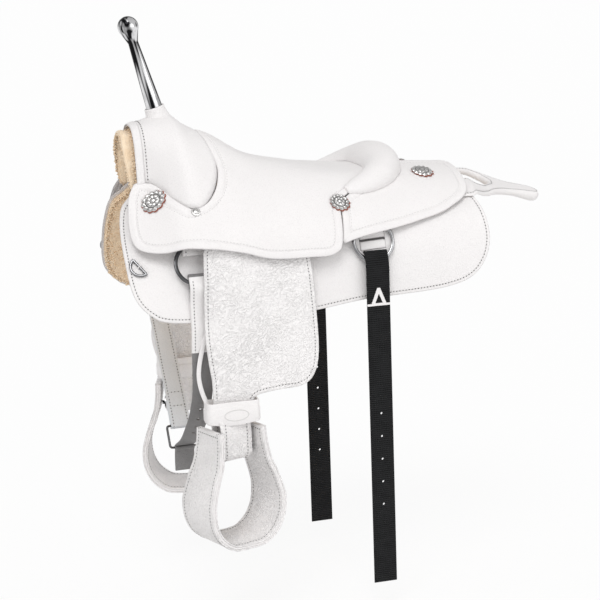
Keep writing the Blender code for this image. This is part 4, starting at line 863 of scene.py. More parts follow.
# %% Skirts
SKIRT_OUTLINE = (
    [(-.366, .045)]
    + spline([(-.383, .078), (-.405, .112), (-.415, .160), (-.418, .215), (-.416, .290),
              (-.405, .330), (-.379, .354), (-.340, .364), (-.200, .360), (.000, .353),
              (.200, .353), (.285, .346), (.330, .330), (.358, .300), (.372, .262), (.373, .216),
              (.364, .160), (.350, .110)], 4)
    + [(.336, .060), (.330, .040)]
)
SKIRT_THICK = 0.005
SKIRT_THICK = 0.005


def worn_corner(outline):
    """The outline with its front lower corner cut back."""
    pts = np.array(outline, float)
    near = ramp(-pts[:, 0], 0.26, 0.40) * ramp(pts[:, 1], 0.10, 0.30)
    return [(x + 0.009 * n, s - 0.010 * n * ramp(s, 0.27, 0.34)) for (x, s), n in zip(pts, near)]


def skirt_bevel(d):
    return -0.0008 * bell(d, 0.0, 0.006)


def one_per_side(make, outline, name):
    """The off side's piece with its worn corner, and the near side's, mirrored."""
    master = make(name + "_master", outline)
    near = mirrored(master, name + "_near")
    bpy.data.objects.remove(master)
    return make(name + "_off", worn_corner(outline)), near


def make_skirts():
    def cut(name, outline):
        return panel(name, SKIRT, outline, SKIRT_THICK, stitch_at=STITCH_INSET,
                     relief=skirt_bevel)

    skirts = one_per_side(cut, SKIRT_OUTLINE, "skirt_leather")
    for skirt, label in zip(skirts, ("off", "near")):
        dress(skirt, LEATHER, "saddle", f"skirt_{label}")
    for (label, side), outline in zip(SIDES, (SKIRT_OUTLINE, worn_corner(SKIRT_OUTLINE))):
        row = pattern_row(SKIRT, outline, STITCH_INSET, -0.0002,
                          lambda x, y, z: z < 0.03 or x < -0.36)
        sew(f"skirt_sewing_{label}", [row], "saddle", side)


make_skirts()

# %% [markdown]
# The seat and the front jockeys are one hide that is drawn over the tree. Its border is
# folded over a welt, so it stands up 15 mm wide round the fork's opening and along the edge,
# with the stitching on the inner side of the crease. The rear jockeys have the same border.

# %% Seat, jockeys
SEAT_EDGE_UNDER_CANTLE = [(.041, .195), (.060, .178), (.110, .142), (.160, .095), (.190, .045),
                          (.198, .0)]
SEAT_OUTLINE = (
    [(-.223, .0)]
    + spline([(-.222, .027), (-.213, .081), (-.205, .124), (-.207, .152), (-.218, .187),
              (-.238, .214), (-.260, .220), (-.279, .212), (-.305, .174), (-.321, .139),
              (-.338, .109), (-.349, .100)], 4)
    + [(-.366, .092)]
    + spline([(-.376, .094), (-.390, .120), (-.397, .153), (-.402, .200), (-.399, .232),
              (-.386, .253), (-.350, .274), (-.300, .297), (-.251, .323), (-.213, .334),
              (-.169, .331), (-.040, .322), (-.004, .320), (.018, .311), (.030, .292),
              (.037, .222)], 4)
    + SEAT_EDGE_UNDER_CANTLE
)
SEAM_GAP = 0.0016
REAR_JOCKEY_OUTLINE = (
    [(x + SEAM_GAP, s + SEAM_GAP) for x, s in reversed(SEAT_EDGE_UNDER_CANTLE)]
    + [(.0387, .222), (.0317, .288), (.036, .293)]
    + spline([(.060, .284), (.140, .257), (.205, .235), (.267, .213), (.302, .193), (.332, .170),
              (.347, .142), (.351, .100), (.353, .047), (.355, .012)], 4)
    + [(.352, SEAM_GAP)]
)
JOCKEY_THICK = 0.0045
JOCKEY_LIFT = -0.0006
BORDER = 0.0155
BORDER_SEAM = BORDER + 0.0032


def border_relief(d):
    """The welted border: a low roll between the edge and a crease."""
    roll = np.where(d < BORDER, np.sin(np.clip(d / BORDER, 0, 1) * math.pi) ** 0.8, 0.0)
    return 0.0008 * roll - 0.0012 * bell(d, BORDER, 0.0012) - 0.0003 * bell(d, 0.0042, 0.0009)


# Painted shade in the crease that bounds the border.
def border_shade(d):
    return 0.18 * bell(d, BORDER, 0.0008)


def bordered(name, outline):
    return panel(name, TOP, outline, JOCKEY_THICK, JOCKEY_LIFT, relief=border_relief,
                 shade=border_shade)


def make_seat():
    dress(bordered("seat_hide", both_sides(SEAT_OUTLINE)), LEATHER, "saddle", "seat_leather")
    pair(bordered("rear_jockey_hide_off", REAR_JOCKEY_OUTLINE), LEATHER, "saddle",
         "rear_jockey_*")
    edge = pattern_row(TOP, SEAT_OUTLINE, BORDER_SEAM, JOCKEY_LIFT,
                       lambda x, y, z: y > 0.02 and x < 0.045)
    rear = pattern_row(TOP, REAR_JOCKEY_OUTLINE, BORDER_SEAM, JOCKEY_LIFT,
                       lambda x, y, z: y > 0.02 and (x > 0.2 or z < 0.04))
    sew_pair("seat_sewing", [edge], "saddle", holes=False)
    sew_pair("rear_jockey_sewing", [rear], "saddle", holes=False)


make_seat()

# %% [markdown]
# The fork is covered by one smooth hide that swells out on both sides and runs on under the
# seat's edge. A binding strap closes its front edge, and behind it the fleece lining of the
# gullet shows.

# %% Fork cover and binding
FORK_COVER_OUTLINE = (
    [(-.368, .0), (-.368, .156)]
    + spline([(-.360, .156), (-.349, .152), (-.338, .161), (-.321, .189), (-.305, .221),
              (-.292, .241), (-.279, .251), (-.262, .244), (-.243, .218), (-.225, .181),
              (-.215, .147), (-.213, .120), (-.219, .079), (-.228, .027)], 4)
    + [(-.229, .0)]
)
BINDING_OUTLINE = [(-.3685, .0), (-.3685, .157), (-.3515, .161), (-.3515, .0)]
BINDING_SEAM_X = -0.3465
FRONT_X = -0.368
TUCK = 0.011
TUCK_DEPTH = 0.0046


def fork_cover():
    own = closed_line(both_sides(FORK_COVER_OUTLINE), 0.004)
    tucked = own - inward(own) * TUCK
    tucked[:, 0] = np.maximum(tucked[:, 0], FRONT_X)

    def dip(x, s):
        out = np.clip(-edge_distance(np.stack([x, s], axis=1), own), 0, TUCK)
        return -0.0004 - TUCK_DEPTH * (out / TUCK)

    dress(panel("fork_hide", FORK, tucked, 0.0026, dip), LEATHER, "saddle", "fork_cover")


def gullet_binding():
    def bead(d):
        return 0.0008 * bell(d, 0.0062, 0.003) - 0.0004 * bell(d, 0.0105, 0.0010)

    binding = panel("gullet_binding_strap", FORK, both_sides(BINDING_OUTLINE), 0.0022, 0.0024,
                    cell=0.004, relief=bead)
    dress(binding, LEATHER, "saddle", "gullet_binding")
    s = np.linspace(-0.156, 0.156, 90)
    x = np.full_like(s, BINDING_SEAM_X)
    sew("binding_sewing", [even_row(FORK.place(x, s, 0.0003), FORK.normal(x, s))], "saddle")


fork_cover()
gullet_binding()
# %% [markdown]
# The cantle roll is a padded arch: narrow at both tips and full in the middle. It is lofted
# over the back of the seat as rows of half circles whose width and height swell.

# %% Lofts
def unit(v):
    v = np.array(v, float)
    return v / np.linalg.norm(v)


def loft(name, rings, closed=False):
    """Quads over rows of equal rings, with a map of width and length in metres for weaves."""
    rings = [np.array(r, float) for r in rings]
    size = len(rings[0])
    around = run_of(np.vstack([rings[0], rings[0][:1]]))
    mids = [r.mean(axis=0) for r in rings]
    along = run_of(np.array(mids + mids[:1]))
    faces, uvs = [], []
    for i in range(len(rings) if closed else len(rings) - 1):
        here, there = i * size, ((i + 1) % len(rings)) * size
        for k in range(size):
            n = (k + 1) % size
            faces.append((here + k, here + n, there + n, there + k))
            uvs += [(around[k], along[i]), (around[k + 1], along[i]),
                    (around[k + 1], along[i + 1]), (around[k], along[i + 1])]
    if not closed:
        last = len(rings) - 1
        faces.append(tuple(reversed(range(size))))
        faces.append(tuple(last * size + k for k in range(size)))
        uvs += [(around[k], 0.0) for k in reversed(range(size))]
        uvs += [(around[k], along[last]) for k in range(size)]
    obj = mesh_object(name, np.vstack(rings), faces, uvs)
    face_outwards(obj)
    return obj


# %% Cantle roll
CANTLE_PATH = [(.062, .168), (.085, .158), (.118, .140), (.150, .112),
               (.172, .075), (.180, .038), (.182, .0)]
CANTLE_HALF_WIDTH = (.009, .019, .026, .034, .041, .0445, .046)
CANTLE_HEIGHT = (.006, .014, .023, .033, .040, .0435, .0445)
CANTLE_STEPS = 32


def make_cantle():
    rows = [(*p, w, h) for p, w, h in zip(CANTLE_PATH, CANTLE_HALF_WIDTH, CANTLE_HEIGHT)]
    rows = spline(rows, 8)
    turn = [math.pi * n / CANTLE_STEPS for n in range(CANTLE_STEPS + 1)]
    out, up = np.array([math.cos(a) for a in turn]), np.array([math.sin(a) for a in turn])
    rings = []
    for k, (x, s, half, height) in enumerate(rows):
        ahead, back = rows[min(k + 1, len(rows) - 1)], rows[max(k - 1, 0)]
        way = unit((ahead[0] - back[0], ahead[1] - back[1]))
        if k == len(rows) - 1:
            way = np.array([0.0, -1.0])
        px, ps = x - way[1] * half * out, s + way[0] * half * out
        ring = TOP.place(np.abs(px), np.abs(ps), 0.0002 + height * up)
        ring[:, 1] *= np.where(ps < 0, -1, 1)
        rings.append(ring)
    rings[-1][:, 1] = 0.0
    rings += [r * (1, -1, 1) for r in reversed(rings[:-1])]
    roll = dress(loft("cantle_roll_hide", rings), LEATHER, "saddle", "cantle_roll")


make_cantle()

# %% [markdown]
# The fleece is real geometry: a thick mat with small bent locks of wool all round its edge and
# over its front, because the camera looks straight at its front edge under the fork.

# %% Fleece
FLEECE_OUTLINE = (
    [(-.362, .049)]
    + spline([(-.380, .080), (-.402, .114), (-.412, .160), (-.415, .215), (-.412, .288),
              (-.401, .326), (-.376, .348), (-.340, .357), (-.200, .354), (.000, .347),
              (.200, .347), (.282, .340), (.324, .325), (.350, .297), (.364, .260), (.365, .216),
              (.356, .160), (.343, .110)], 3)
    + [(.326, .060), (.322, .044)]
)
GULLET_FLEECE_OUTLINE = [(-.392, .0), (-.394, .060), (-.391, .095), (-.386, .128), (-.382, .150),
                         (-.376, .166), (-.356, .166), (-.340, .140), (-.330, .110), (-.330, .0)]
FLEECE_THICK = 0.0165
FLEECE_LIFT = -0.0055
GULLET_THICK = 0.009
LOCK_SEED = 11
LOCK_ROOT = 0.0024
LOCK_LONG = 0.0040
GULLET_LOCK_LONG = 0.0022
LOCK_BAND = 0.016
LOCK_SIDES = 5


def wool_mat(name, form, outline, top, thick, cell):
    """A closed mat of wool under a form, with a rounded rim."""
    flat, tris, d, _ = cut_pattern(outline, cell, rows=(0.002, 0.004, 0.007))
    height = valued(top, flat[:, 0], flat[:, 1]) - rim_drop(d, 0.004)
    return thicken(laid(name, form, flat, tris, height), thick)


def lock_of_wool(root, lean, bend, long, wide):
    """The points of one lock: three rings that follow a bent line, and a tip."""
    across = unit(np.cross(lean, (0.3, 0.5, 0.81)))
    other = np.cross(lean, across)
    points = []
    for share, size in ((-0.35, 0.9), (0.35, 1.0), (0.75, 0.65)):
        middle = root + lean * long * share + bend * max(share, 0)
        for k in range(LOCK_SIDES):
            a = 2 * math.pi * k / LOCK_SIDES
            points.append(middle + (across * math.cos(a) + other * math.sin(a)) * wide * size)
    return points + [root + lean * long * 1.0 + bend * 1.4]


def lock_faces(start):
    sides = range(LOCK_SIDES)
    faces = []
    for ring in (start, start + LOCK_SIDES):
        for k in sides:
            n = (k + 1) % LOCK_SIDES
            faces.append((ring + k, ring + n, ring + LOCK_SIDES + n, ring + LOCK_SIDES + k))
    top = start + 2 * LOCK_SIDES
    faces += [(top + k, top + (k + 1) % LOCK_SIDES, top + LOCK_SIDES) for k in sides]
    return faces + [tuple(start + k for k in reversed(sides))]


def wool_locks(name, form, outline, height, low_x, long_lock=LOCK_LONG):
    """Locks that stand on the mat's open face and round its edge, bent by chance."""
    rng = random.Random(LOCK_SEED)

    def any_way():
        return np.array([rng.uniform(-1, 1) for _ in range(3)])

    flat, _, d, line = cut_pattern(outline, 0.0075, rows=(0.0005, 0.0035, 0.007))
    middle = line.mean(axis=0)
    verts, faces = [], []
    for x, s in flat[(d < LOCK_BAND) | (flat[:, 0] < low_x)]:
        up = -form.normal(x, s)[0]
        root = form.place(x, s, height)[0] + any_way() * 0.002
        rim = min(edge_distance(np.array([[x, s]]), line)[0], 0.008) / 0.008
        away = form.place(x + (x - middle[0]) * 0.01, s, height)[0] - root
        lean = unit(up * (0.35 + 0.65 * rim) + unit(away + 1e-6) * (1 - rim) * 0.8
                    + any_way() * 0.55)
        bend = any_way() * 0.0022
        long = long_lock * rng.uniform(0.7, 1.15)
        wide = LOCK_ROOT * rng.uniform(0.8, 1.25)
        faces += lock_faces(len(verts))
        verts += lock_of_wool(root, lean, bend, long, wide)
    obj = mesh_object(name, verts, faces)
    face_outwards(obj)
    obj.data.materials.append(WOOL)
    obj.data.shade_smooth()
    return obj


def carry_locks(obj):
    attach(obj, "saddle")


def lining_top(x, s):
    return -0.0161 + 0.012 * ramp(-x, 0.366, 0.384)


def make_fleece():
    def cut(name, outline):
        return wool_mat(name, SKIRT, outline, FLEECE_LIFT, FLEECE_THICK, 0.008)

    for mat, label in zip(one_per_side(cut, FLEECE_OUTLINE, "fleece_mat"), ("off", "near")):
        dress(mat, WOOL, "saddle", f"fleece_{label}", angle=80)
    gullet = both_sides(GULLET_FLEECE_OUTLINE)
    lining = wool_mat("gullet_fleece_mat", FORK, gullet, lining_top, GULLET_THICK, 0.006)
    dress(lining, WOOL, "saddle", "gullet_fleece", angle=80)
    locks = wool_locks("fleece_locks_off", SKIRT, worn_corner(FLEECE_OUTLINE), -0.0200, -0.33)
    carry_locks(locks)
    carry_locks(mirrored(locks, "fleece_locks_near"))
    carry_locks(wool_locks("gullet_locks", FORK, gullet, -0.0112, -0.34, GULLET_LOCK_LONG))
    print("locks of wool:", len(locks.data.polygons), "faces on each skirt")


make_fleece()

# %% [markdown]
# The horn is turned steel: a thick root, a long tapered shaft and a ball. It is spun from its
# profile, as on a lathe, then tilted forward and set on the fork.

# %% Horn
HORN_BASE = Vector((-0.3055, 0.0, 0.2385))
HORN_LEAN = math.radians(15.5)
HORN_ROOT, HORN_NECK, HORN_COLLAR = 0.0179, 0.0108, 0.0112
SHAFT_LONG, SHAFT_END = 0.1535, 0.1545
BALL_HEIGHT, BALL_RADIUS = 0.188, 0.0221
BALL_LOW = math.radians(-33)
FOOT_BORE, FOOT_RADIUS = 0.0182, 0.0218


def spun(name, profile, steps=48, hollow=False):
    """A turned piece from (radius, height) points. A hollow one joins its end to its start."""
    verts = [(r, 0.0, h) for r, h in profile]
    mesh = bpy.data.meshes.new(name)
    edges = [(k, k + 1) for k in range(len(verts) - 1)]
    mesh.from_pydata(verts, edges + ([(len(verts) - 1, 0)] if hollow else []), [])
    obj = linked(name, mesh)
    select_only(obj)
    bpy.ops.object.mode_set(mode="EDIT")
    bpy.ops.mesh.select_all(action="SELECT")
    bpy.ops.mesh.spin(steps=steps, angle=2 * math.pi, center=(0, 0, 0), axis=(0, 0, 1),
                      use_auto_merge=False)
    bpy.ops.object.mode_set(mode="OBJECT")
    face_outwards(obj, merge=1e-5)
    return obj


def stand_on_fork(obj):
    obj.data.transform(Matrix.Translation(HORN_BASE) @ Matrix.Rotation(-HORN_LEAN, 4, "Y"))
    return obj


def make_horn():
    profile = [(0.0, -0.018), (0.0172, -0.018), (0.0178, -0.017), (HORN_ROOT, 0.0)]
    profile += [(HORN_ROOT + (HORN_NECK - HORN_ROOT) * t, SHAFT_LONG * t)
                for t in np.linspace(0.05, 0.985, 24)]
    profile += [(HORN_NECK, 0.1530), (HORN_COLLAR, SHAFT_END)]
    ball_x, ball_z = BALL_RADIUS * math.cos(BALL_LOW), BALL_RADIUS * math.sin(BALL_LOW)
    profile += [(HORN_COLLAR + (ball_x - HORN_COLLAR) * t,
                 SHAFT_END + (BALL_HEIGHT + ball_z - SHAFT_END) * t)
                for t in np.linspace(0.15, 0.85, 6)]
    profile += [(BALL_RADIUS * math.cos(a), BALL_HEIGHT + BALL_RADIUS * math.sin(a))
                for a in np.linspace(BALL_LOW, math.pi / 2 - 0.02, 22)]
    profile += [(0.0, BALL_HEIGHT + BALL_RADIUS)]
    horn = stand_on_fork(spun("horn_steel", profile, 64))
    dress(horn, STEEL, "saddle", "horn", angle=30)


def make_horn_foot():
    profile = [(FOOT_BORE, -0.0262), (FOOT_BORE, 0.0095), (FOOT_BORE + 0.0008, 0.0108),
               (0.0208, 0.0108), (FOOT_RADIUS, 0.0098)]
    profile += [(FOOT_RADIUS + 0.0125 * t**2.2, 0.0098 - 0.036 * t)
                for t in np.linspace(0.08, 1.0, 14)]
    foot = stand_on_fork(spun("horn_foot_hide", profile, 64, hollow=True))
    dress(foot, LEATHER, "saddle", "horn_collar", angle=60)


make_horn()
make_horn_foot()

# %% [markdown]
# The hand hold is a leather covered steel loop: a wishbone of two arms that meet in a flat
# tail. Its free part hangs lower on the near side, as in the photo.

# %% Hand hold
HAND_HOLD_BUTT_X = 0.2923
HAND_HOLD_OUTER = ([(HAND_HOLD_BUTT_X, .112), (HAND_HOLD_BUTT_X, .150)]
                   + spline([(.316, .153), (.340, .154), (.362, .152), (.384, .128), (.402, .106),
                             (.422, .084), (.445, .062), (.475, .042), (.510, .029), (.540, .025),
                             (.562, .020), (.572, .010)], 4))
HAND_HOLD_INNER = [(.450, .0), (.442, .022), (.415, .050), (.385, .072), (.340, .088), (.300, .100)]
HAND_HOLD_ROWS = (0.0004, 0.0010, 0.0020, 0.0032, 0.0048, 0.0068)
HAND_HOLD_SEAM = 0.0068
HAND_HOLD_ROUND = 0.009
HAND_HOLD_TWIST = math.radians(13)
HAND_HOLD_TWIST_SPAN = (0.368, 0.425)


def bent_by_use(points):
    """The free part of the loop hangs lower on its near arm, turned about its own middle."""
    turn = HAND_HOLD_TWIST * ramp(points[:, 0], *HAND_HOLD_TWIST_SPAN)
    height = HAND_HOLD.place(points[:, 0], points[:, 0] * 0, 0.0)[:, 2]
    y, z = points[:, 1], points[:, 2] - height
    return np.stack([points[:, 0], y * np.cos(turn) - z * np.sin(turn),
                     height + y * np.sin(turn) + z * np.cos(turn)], axis=1)


def half_thick(x):
    return 0.0030 + 0.0055 * ramp(x, 0.36, 0.44) + 0.0040 * ramp(x, 0.50, 0.55)


def make_hand_hold():
    outline = [(.574, .0)] + list(reversed(HAND_HOLD_OUTER)) + list(reversed(HAND_HOLD_INNER))
    ring = both_sides([tuple(map(float, p)) for p in outline])
    flat, tris, d, line = cut_pattern(ring, 0.005, rows=HAND_HOLD_ROWS)
    x, s = flat[:, 0], flat[:, 1]
    round_in = 1 - np.clip(d / HAND_HOLD_ROUND, 0, 1)
    belly = half_thick(x) * np.sqrt(np.clip(1 - round_in ** 2, 0.0, 1.0))
    welt = bell(d, HAND_HOLD_SEAM, 0.0012)
    verts = np.vstack([HAND_HOLD.place(x, s, belly - 0.0007 * welt),
                       HAND_HOLD.place(x, s, -belly)])
    faces = [tuple(t) for t in tris] + [tuple(k + len(flat) for k in reversed(t)) for t in tris]
    loop = mesh_object("hand_hold_hide", bent_by_use(verts), faces)
    # Painted shade along the seam's welt.
    set_shade(loop, np.tile(0.35 * welt, 2))
    face_outwards(loop)
    dress(loop, LEATHER, "saddle", "hand_hold", angle=60)
    row = inner_row(line, HAND_HOLD_SEAM)
    x, s = row[row[:, 0] > 0.34].T
    places = bent_by_use(HAND_HOLD.place(x, s, half_thick(x) * 0.97 - 0.0006))
    sew("hand_hold_sewing", [even_row(places, HAND_HOLD.normal(x, s), closed=True)], "saddle")


make_hand_hold()

# %% [markdown]
# The fender is the wide leather that hangs under the rider's leg, of a coarser tumbled hide.

# %% Fenders
FENDER_TOP_Z = -0.020
FENDER_NECK_Z = -0.366
FENDER_OUTLINE = (
    [(-.262, FENDER_TOP_Z)]
    + spline([(-.268, -.035), (-.274, -.120), (-.276, -.203), (-.270, -.270), (-.265, -.310),
              (-.265, FENDER_NECK_Z)], 4)
    + [(-.180, FENDER_NECK_Z)]
    + spline([(-.179, -.356), (-.165, -.344), (-.120, -.338), (-.069, -.334), (-.042, -.313),
              (-.030, -.263), (-.033, -.167), (-.040, -.060)], 4)
    + [(-.048, FENDER_TOP_Z)]
)


def make_fenders():
    outline = [(x, FENDER.s_at(0.0, z)) for x, z in FENDER_OUTLINE]
    fender = panel("fender_hide_off", FENDER, outline, 0.0045, 0.00225, STITCH_INSET)
    pair(fender, COARSE_LEATHER, "fender_*", "fender_*")
    row = pattern_row(FENDER, outline, 0.0085, 0.0019, lambda x, y, z: -0.352 < z < -0.028)
    sew_pair("fender_sewing", [row], "fender_*")


make_fenders()
# %% [markdown]
# Straps of leather and nylon are lofted along their path from one rounded section. Its twelve
# points run round the strap: 2 and 3 are the corners of its outer face, 9 and 8 of its inner.

# %% Straps
CORNER_ROUND = 0.8
OUTER_FACE, INNER_FACE = (2, 3, 9), (9, 8, 2)
SEAM_LIFT = 0.0002
ALONG_X = (1, 0, 0)


def strap_section(half, thin):
    """Twelve points round a flat section with rounded edges, and the way each lies from it."""
    r = thin * CORNER_ROUND
    corners = ((half - r, thin - r, 0), (-half + r, thin - r, 90),
               (-half + r, -thin + r, 180), (half - r, -thin + r, 270))
    turns = [(x, y, math.radians(start + 45 * k)) for x, y, start in corners for k in range(3)]
    return [(x + r * math.cos(a), y + r * math.sin(a)) for x, y, a in turns]


def neighbours(rows, k, closed=False):
    """The rows before and after row k."""
    if closed:
        return rows[k - 1], rows[(k + 1) % len(rows)]
    return rows[max(k - 1, 0)], rows[min(k + 1, len(rows) - 1)]


def strap_rings(path, across, widths, thicks, closed=False, steps=5):
    """Rings of a flat strap along a smooth path. Way, width and thickness may change along it."""
    count = len(path)
    ways = [across] * count if np.ndim(across) == 1 else list(across)
    widths = [widths] * count if np.isscalar(widths) else list(widths)
    rows = [np.concatenate([p, w, [a, b]]) for p, w, a, b in
            zip(path, ways, widths, [thicks] * count if np.isscalar(thicks) else thicks)]
    if closed:
        rows = spline(rows[-2:] + rows + rows[:3], steps)[2 * steps:(2 + count) * steps]
    elif steps > 1:
        rows = spline(rows, steps)
    rings = []
    for k, row in enumerate(rows):
        back, ahead = neighbours(rows, k, closed)
        along = unit(ahead[:3] - back[:3])
        way = unit(row[3:6] - along * np.dot(row[3:6], along))
        face = unit(np.cross(along, way))
        rings.append([row[:3] + way * x + face * y
                      for x, y in strap_section(row[6] / 2, row[7] / 2)])
    return rings


def strap_rows(rings, inset, first=0):
    """Sewing rows along both edges of a strap, on its outer and its inner face."""
    rings = np.array(rings[first:])
    rows = []
    for a, b, under in (OUTER_FACE, INNER_FACE):
        wide = np.linalg.norm(rings[:, b] - rings[:, a], axis=1)[:, None]
        up = rings[:, a] - rings[:, under]
        up /= np.linalg.norm(up, axis=1, keepdims=True)
        for start, end in ((a, b), (b, a)):
            line = (rings[:, start] + (rings[:, end] - rings[:, start]) * (inset / wide)
                    + up * SEAM_LIFT)
            rows.append(even_row(line, up))
    return rows


def cross_rows(rings, indices, inset):
    """Rows of sewing across both faces of a strap at some of its rings."""
    rows = []
    for ring in (np.array(rings[index]) for index in indices):
        for a, b, under in (INNER_FACE, OUTER_FACE):
            share = inset / np.linalg.norm(ring[b] - ring[a])
            up = unit(ring[a] - ring[under])
            ends = [ring[a] + (ring[b] - ring[a]) * part + up * SEAM_LIFT
                    for part in (share, 1 - share)]
            rows.append(even_row(np.array(ends), np.array([up, up])))
    return rows


# %% [markdown]
# The rigging rings are torus primitives, flattened where the leather lies on them, and set in
# the plane that the skirt gives them. A strap folds over each ring's lower bar and a keeper of
# leather holds its upper bar.

# %% Rigging rings and keepers
RING_RADIUS = 0.0435
RING_BAR = 0.0042
REAR_FLAT, FRONT_FLAT = 0.0025, 0.0017
STRAP_PLY = 0.0035
HALF_PLY = STRAP_PLY / 2
RUNNING_GAP = 0.0006
REST_GAP = 0.0008
PLY_OUT = REAR_FLAT + RUNNING_GAP + HALF_PLY
FOLD = 0.022
KEEPER_WIDTH = 0.050
KEEPER_SEAM = 0.0042
PAD_HALF_WIDTH = 0.0290
# The third pad, the cut, is a thin dark sheet of painted shadow under the gap between the other
# two.
PADS = (("upper", -0.018, -0.0398), ("lower", -0.0430, -0.062), ("cut", -0.037, -0.0455))


class Ring:
    """A rigging ring's place: its centre, the way out of the skirt, and its low and high bars."""

    def __init__(self, centre, normal):
        self.centre, self.normal = np.array(centre), unit((0.0, *normal))
        self.down = np.array([0.0, self.normal[2], -self.normal[1]])
        self.low = self.centre + self.down * RING_RADIUS
        self.high = self.centre - self.down * RING_RADIUS

    def at(self, point, down, out):
        return point + self.down * down + self.normal * out


REAR_RING = Ring((.105, .2013, -.043), (.936, .351))
FRONT_RING = Ring((-.278, .1856, -.0618), (.886, .464))


def skirt_y(x, z):
    return float(SKIRT.place(x, SKIRT.s_at(x, z))[0, 1])


def make_ring(name, place, flat, mat, body, node):
    bpy.ops.mesh.primitive_torus_add(major_segments=64, minor_segments=16,
                                     major_radius=RING_RADIUS, minor_radius=RING_BAR)
    ring = bpy.context.active_object
    ring.name = ring.data.name = name
    turn = Matrix((ALONG_X, tuple(place.down), tuple(place.normal))).transposed().to_4x4()
    flatten = Matrix.Diagonal((1, 1, flat / RING_BAR, 1))
    ring.data.transform(Matrix.Translation(place.centre) @ turn @ flatten)
    face_outwards(ring)
    pair(ring, mat, body, node, angle=80)


def make_keeper(name, place, flat, lift):
    """A strap from the skirt, down over the ring's upper bar and up behind it."""
    out = flat + RUNNING_GAP + HALF_PLY
    x, _, z = place.at(place.high, -0.018, -PLY_OUT)
    top_y = max(skirt_y(x + d, z) for d in (-.025, 0, .025)) + lift + HALF_PLY
    fold = [(-0.004, -out), (0.018, -out), (FOLD, -out * 0.6), (FOLD, out * 0.6),
            (0.018, out), (-0.004, out), (-0.012, out)]
    path = [np.array([x, top_y, z])] + [place.at(place.high, *step) for step in fold]
    rings = strap_rings(path, ALONG_X, KEEPER_WIDTH, STRAP_PLY, steps=3)
    pair(loft(f"{name}_keeper_off", rings), LEATHER, "saddle", f"{name}_ring_keeper_*")
    sew_pair(f"{name}_keeper_sewing", strap_rows(rings, KEEPER_SEAM, first=12), "saddle")


# Painted shade along the pads' edges.
def pad_shade(d):
    return 0.9 * bell(d, 0.0, 0.0016)


def make_ring_pads():
    """Two small leathers on the skirt in each rear ring; painted shadow darkens the cut between."""
    low_x, high_x = (REAR_RING.centre[0] + out for out in (-PAD_HALF_WIDTH, PAD_HALF_WIDTH))
    for name, high, low in PADS:
        top, foot = (SKIRT.s_at(REAR_RING.centre[0], z) for z in (high, low))
        outline = [(low_x, top), (high_x, top), (high_x, foot), (low_x, foot)]
        # The cut takes the near-black colour of painted shadow.
        thick, mat = (0.0008, HOLE_SHADE) if name == "cut" else (0.0016, LEATHER)
        pad = panel(f"rear_ring_pad_{name}_off", SKIRT, outline, thick, thick + 0.0003,
                    cell=0.005, shade=pad_shade)
        pair(pad, mat, "saddle")


make_ring_pads()
make_ring("rear_ring_steel_off", REAR_RING, REAR_FLAT, CHROME, "rear_billet_*", "rear_ring_*")
make_ring("front_ring_steel_off", FRONT_RING, FRONT_FLAT, DARK_STEEL, "saddle", "front_ring_*")
make_keeper("rear", REAR_RING, REAR_FLAT, 0.0120 + REST_GAP)
make_keeper("front", FRONT_RING, FRONT_FLAT, REST_GAP)

# %% [markdown]
# The rear billets are ribbed black nylon, punched with five holes. The near front billet is
# pebbled grey with a sewn white leather upper, and the off strap is white leather, folded round
# the buckle's bar, and coloured greyer and cooler as painted shade.

# %% Hanging straps
CINCH_SWAY = 0.030
HANG_OUT = 0.003


def hanging_path(place, hang_y, back_drop, tail):
    """A strap folded over a ring's lower bar: back ply, fold, front ply, then the tail."""
    x, low_y, low_z = place.low
    back_z = low_z - back_drop
    back_y = max(skirt_y(x + d, back_z) for d in (-CINCH_SWAY, 0, CINCH_SWAY)) + REST_GAP + HALF_PLY
    back_y = max(back_y, min(hang_y - STRAP_PLY - RUNNING_GAP, low_y - 0.004))
    front_y = max(back_y + STRAP_PLY + RUNNING_GAP, min(hang_y, low_y + PLY_OUT + HANG_OUT))
    fold = [(0.010, -PLY_OUT), (-0.014, -PLY_OUT), (-FOLD + 0.0015, -PLY_OUT * 0.55),
            (-FOLD + 0.0015, PLY_OUT * 0.55), (-0.014, PLY_OUT), (0.008, PLY_OUT)]
    return ([np.array([x, back_y, back_z])] + [place.at(place.low, *step) for step in fold]
            + [np.array([x, front_y, back_z])] + [np.array(p) for p in tail])


def wire(name, path, normal, radius, sides=12):
    """A closed round wire along a flat loop."""
    path = [np.array(p) for p in path]
    turn = np.linspace(0, 2 * math.pi, sides, endpoint=False)
    rings = []
    for k, p in enumerate(path):
        back, ahead = neighbours(path, k, closed=True)
        inward_way = np.cross(normal, unit(ahead - back))
        rings.append([p + (inward_way * math.cos(a) + normal * math.sin(a)) * radius
                      for a in turn])
    return loft(name, rings, closed=True)


def punched(obj, places, radius, way):
    """Round holes through a strap, cut with cylinders."""
    for place in places:
        bpy.ops.mesh.primitive_cylinder_add(vertices=16, radius=radius, depth=0.03,
                                            location=place)
        pin = bpy.context.active_object
        pin.rotation_euler = Vector(way).to_track_quat("Z", "Y").to_euler()
        bpy.context.view_layer.update()
        apply_modifier(obj, "BOOLEAN", operation="DIFFERENCE", solver="EXACT", object=pin)
        bpy.data.objects.remove(pin)


# %% Rear billets
BILLET_WIDTH, BACK_PLY_WIDTH = 0.052, 0.044
BILLET_END_Z = -0.795
HOLE_TOP_Z, HOLE_PITCH, HOLE_RADIUS = -0.415, 0.0508, 0.0026


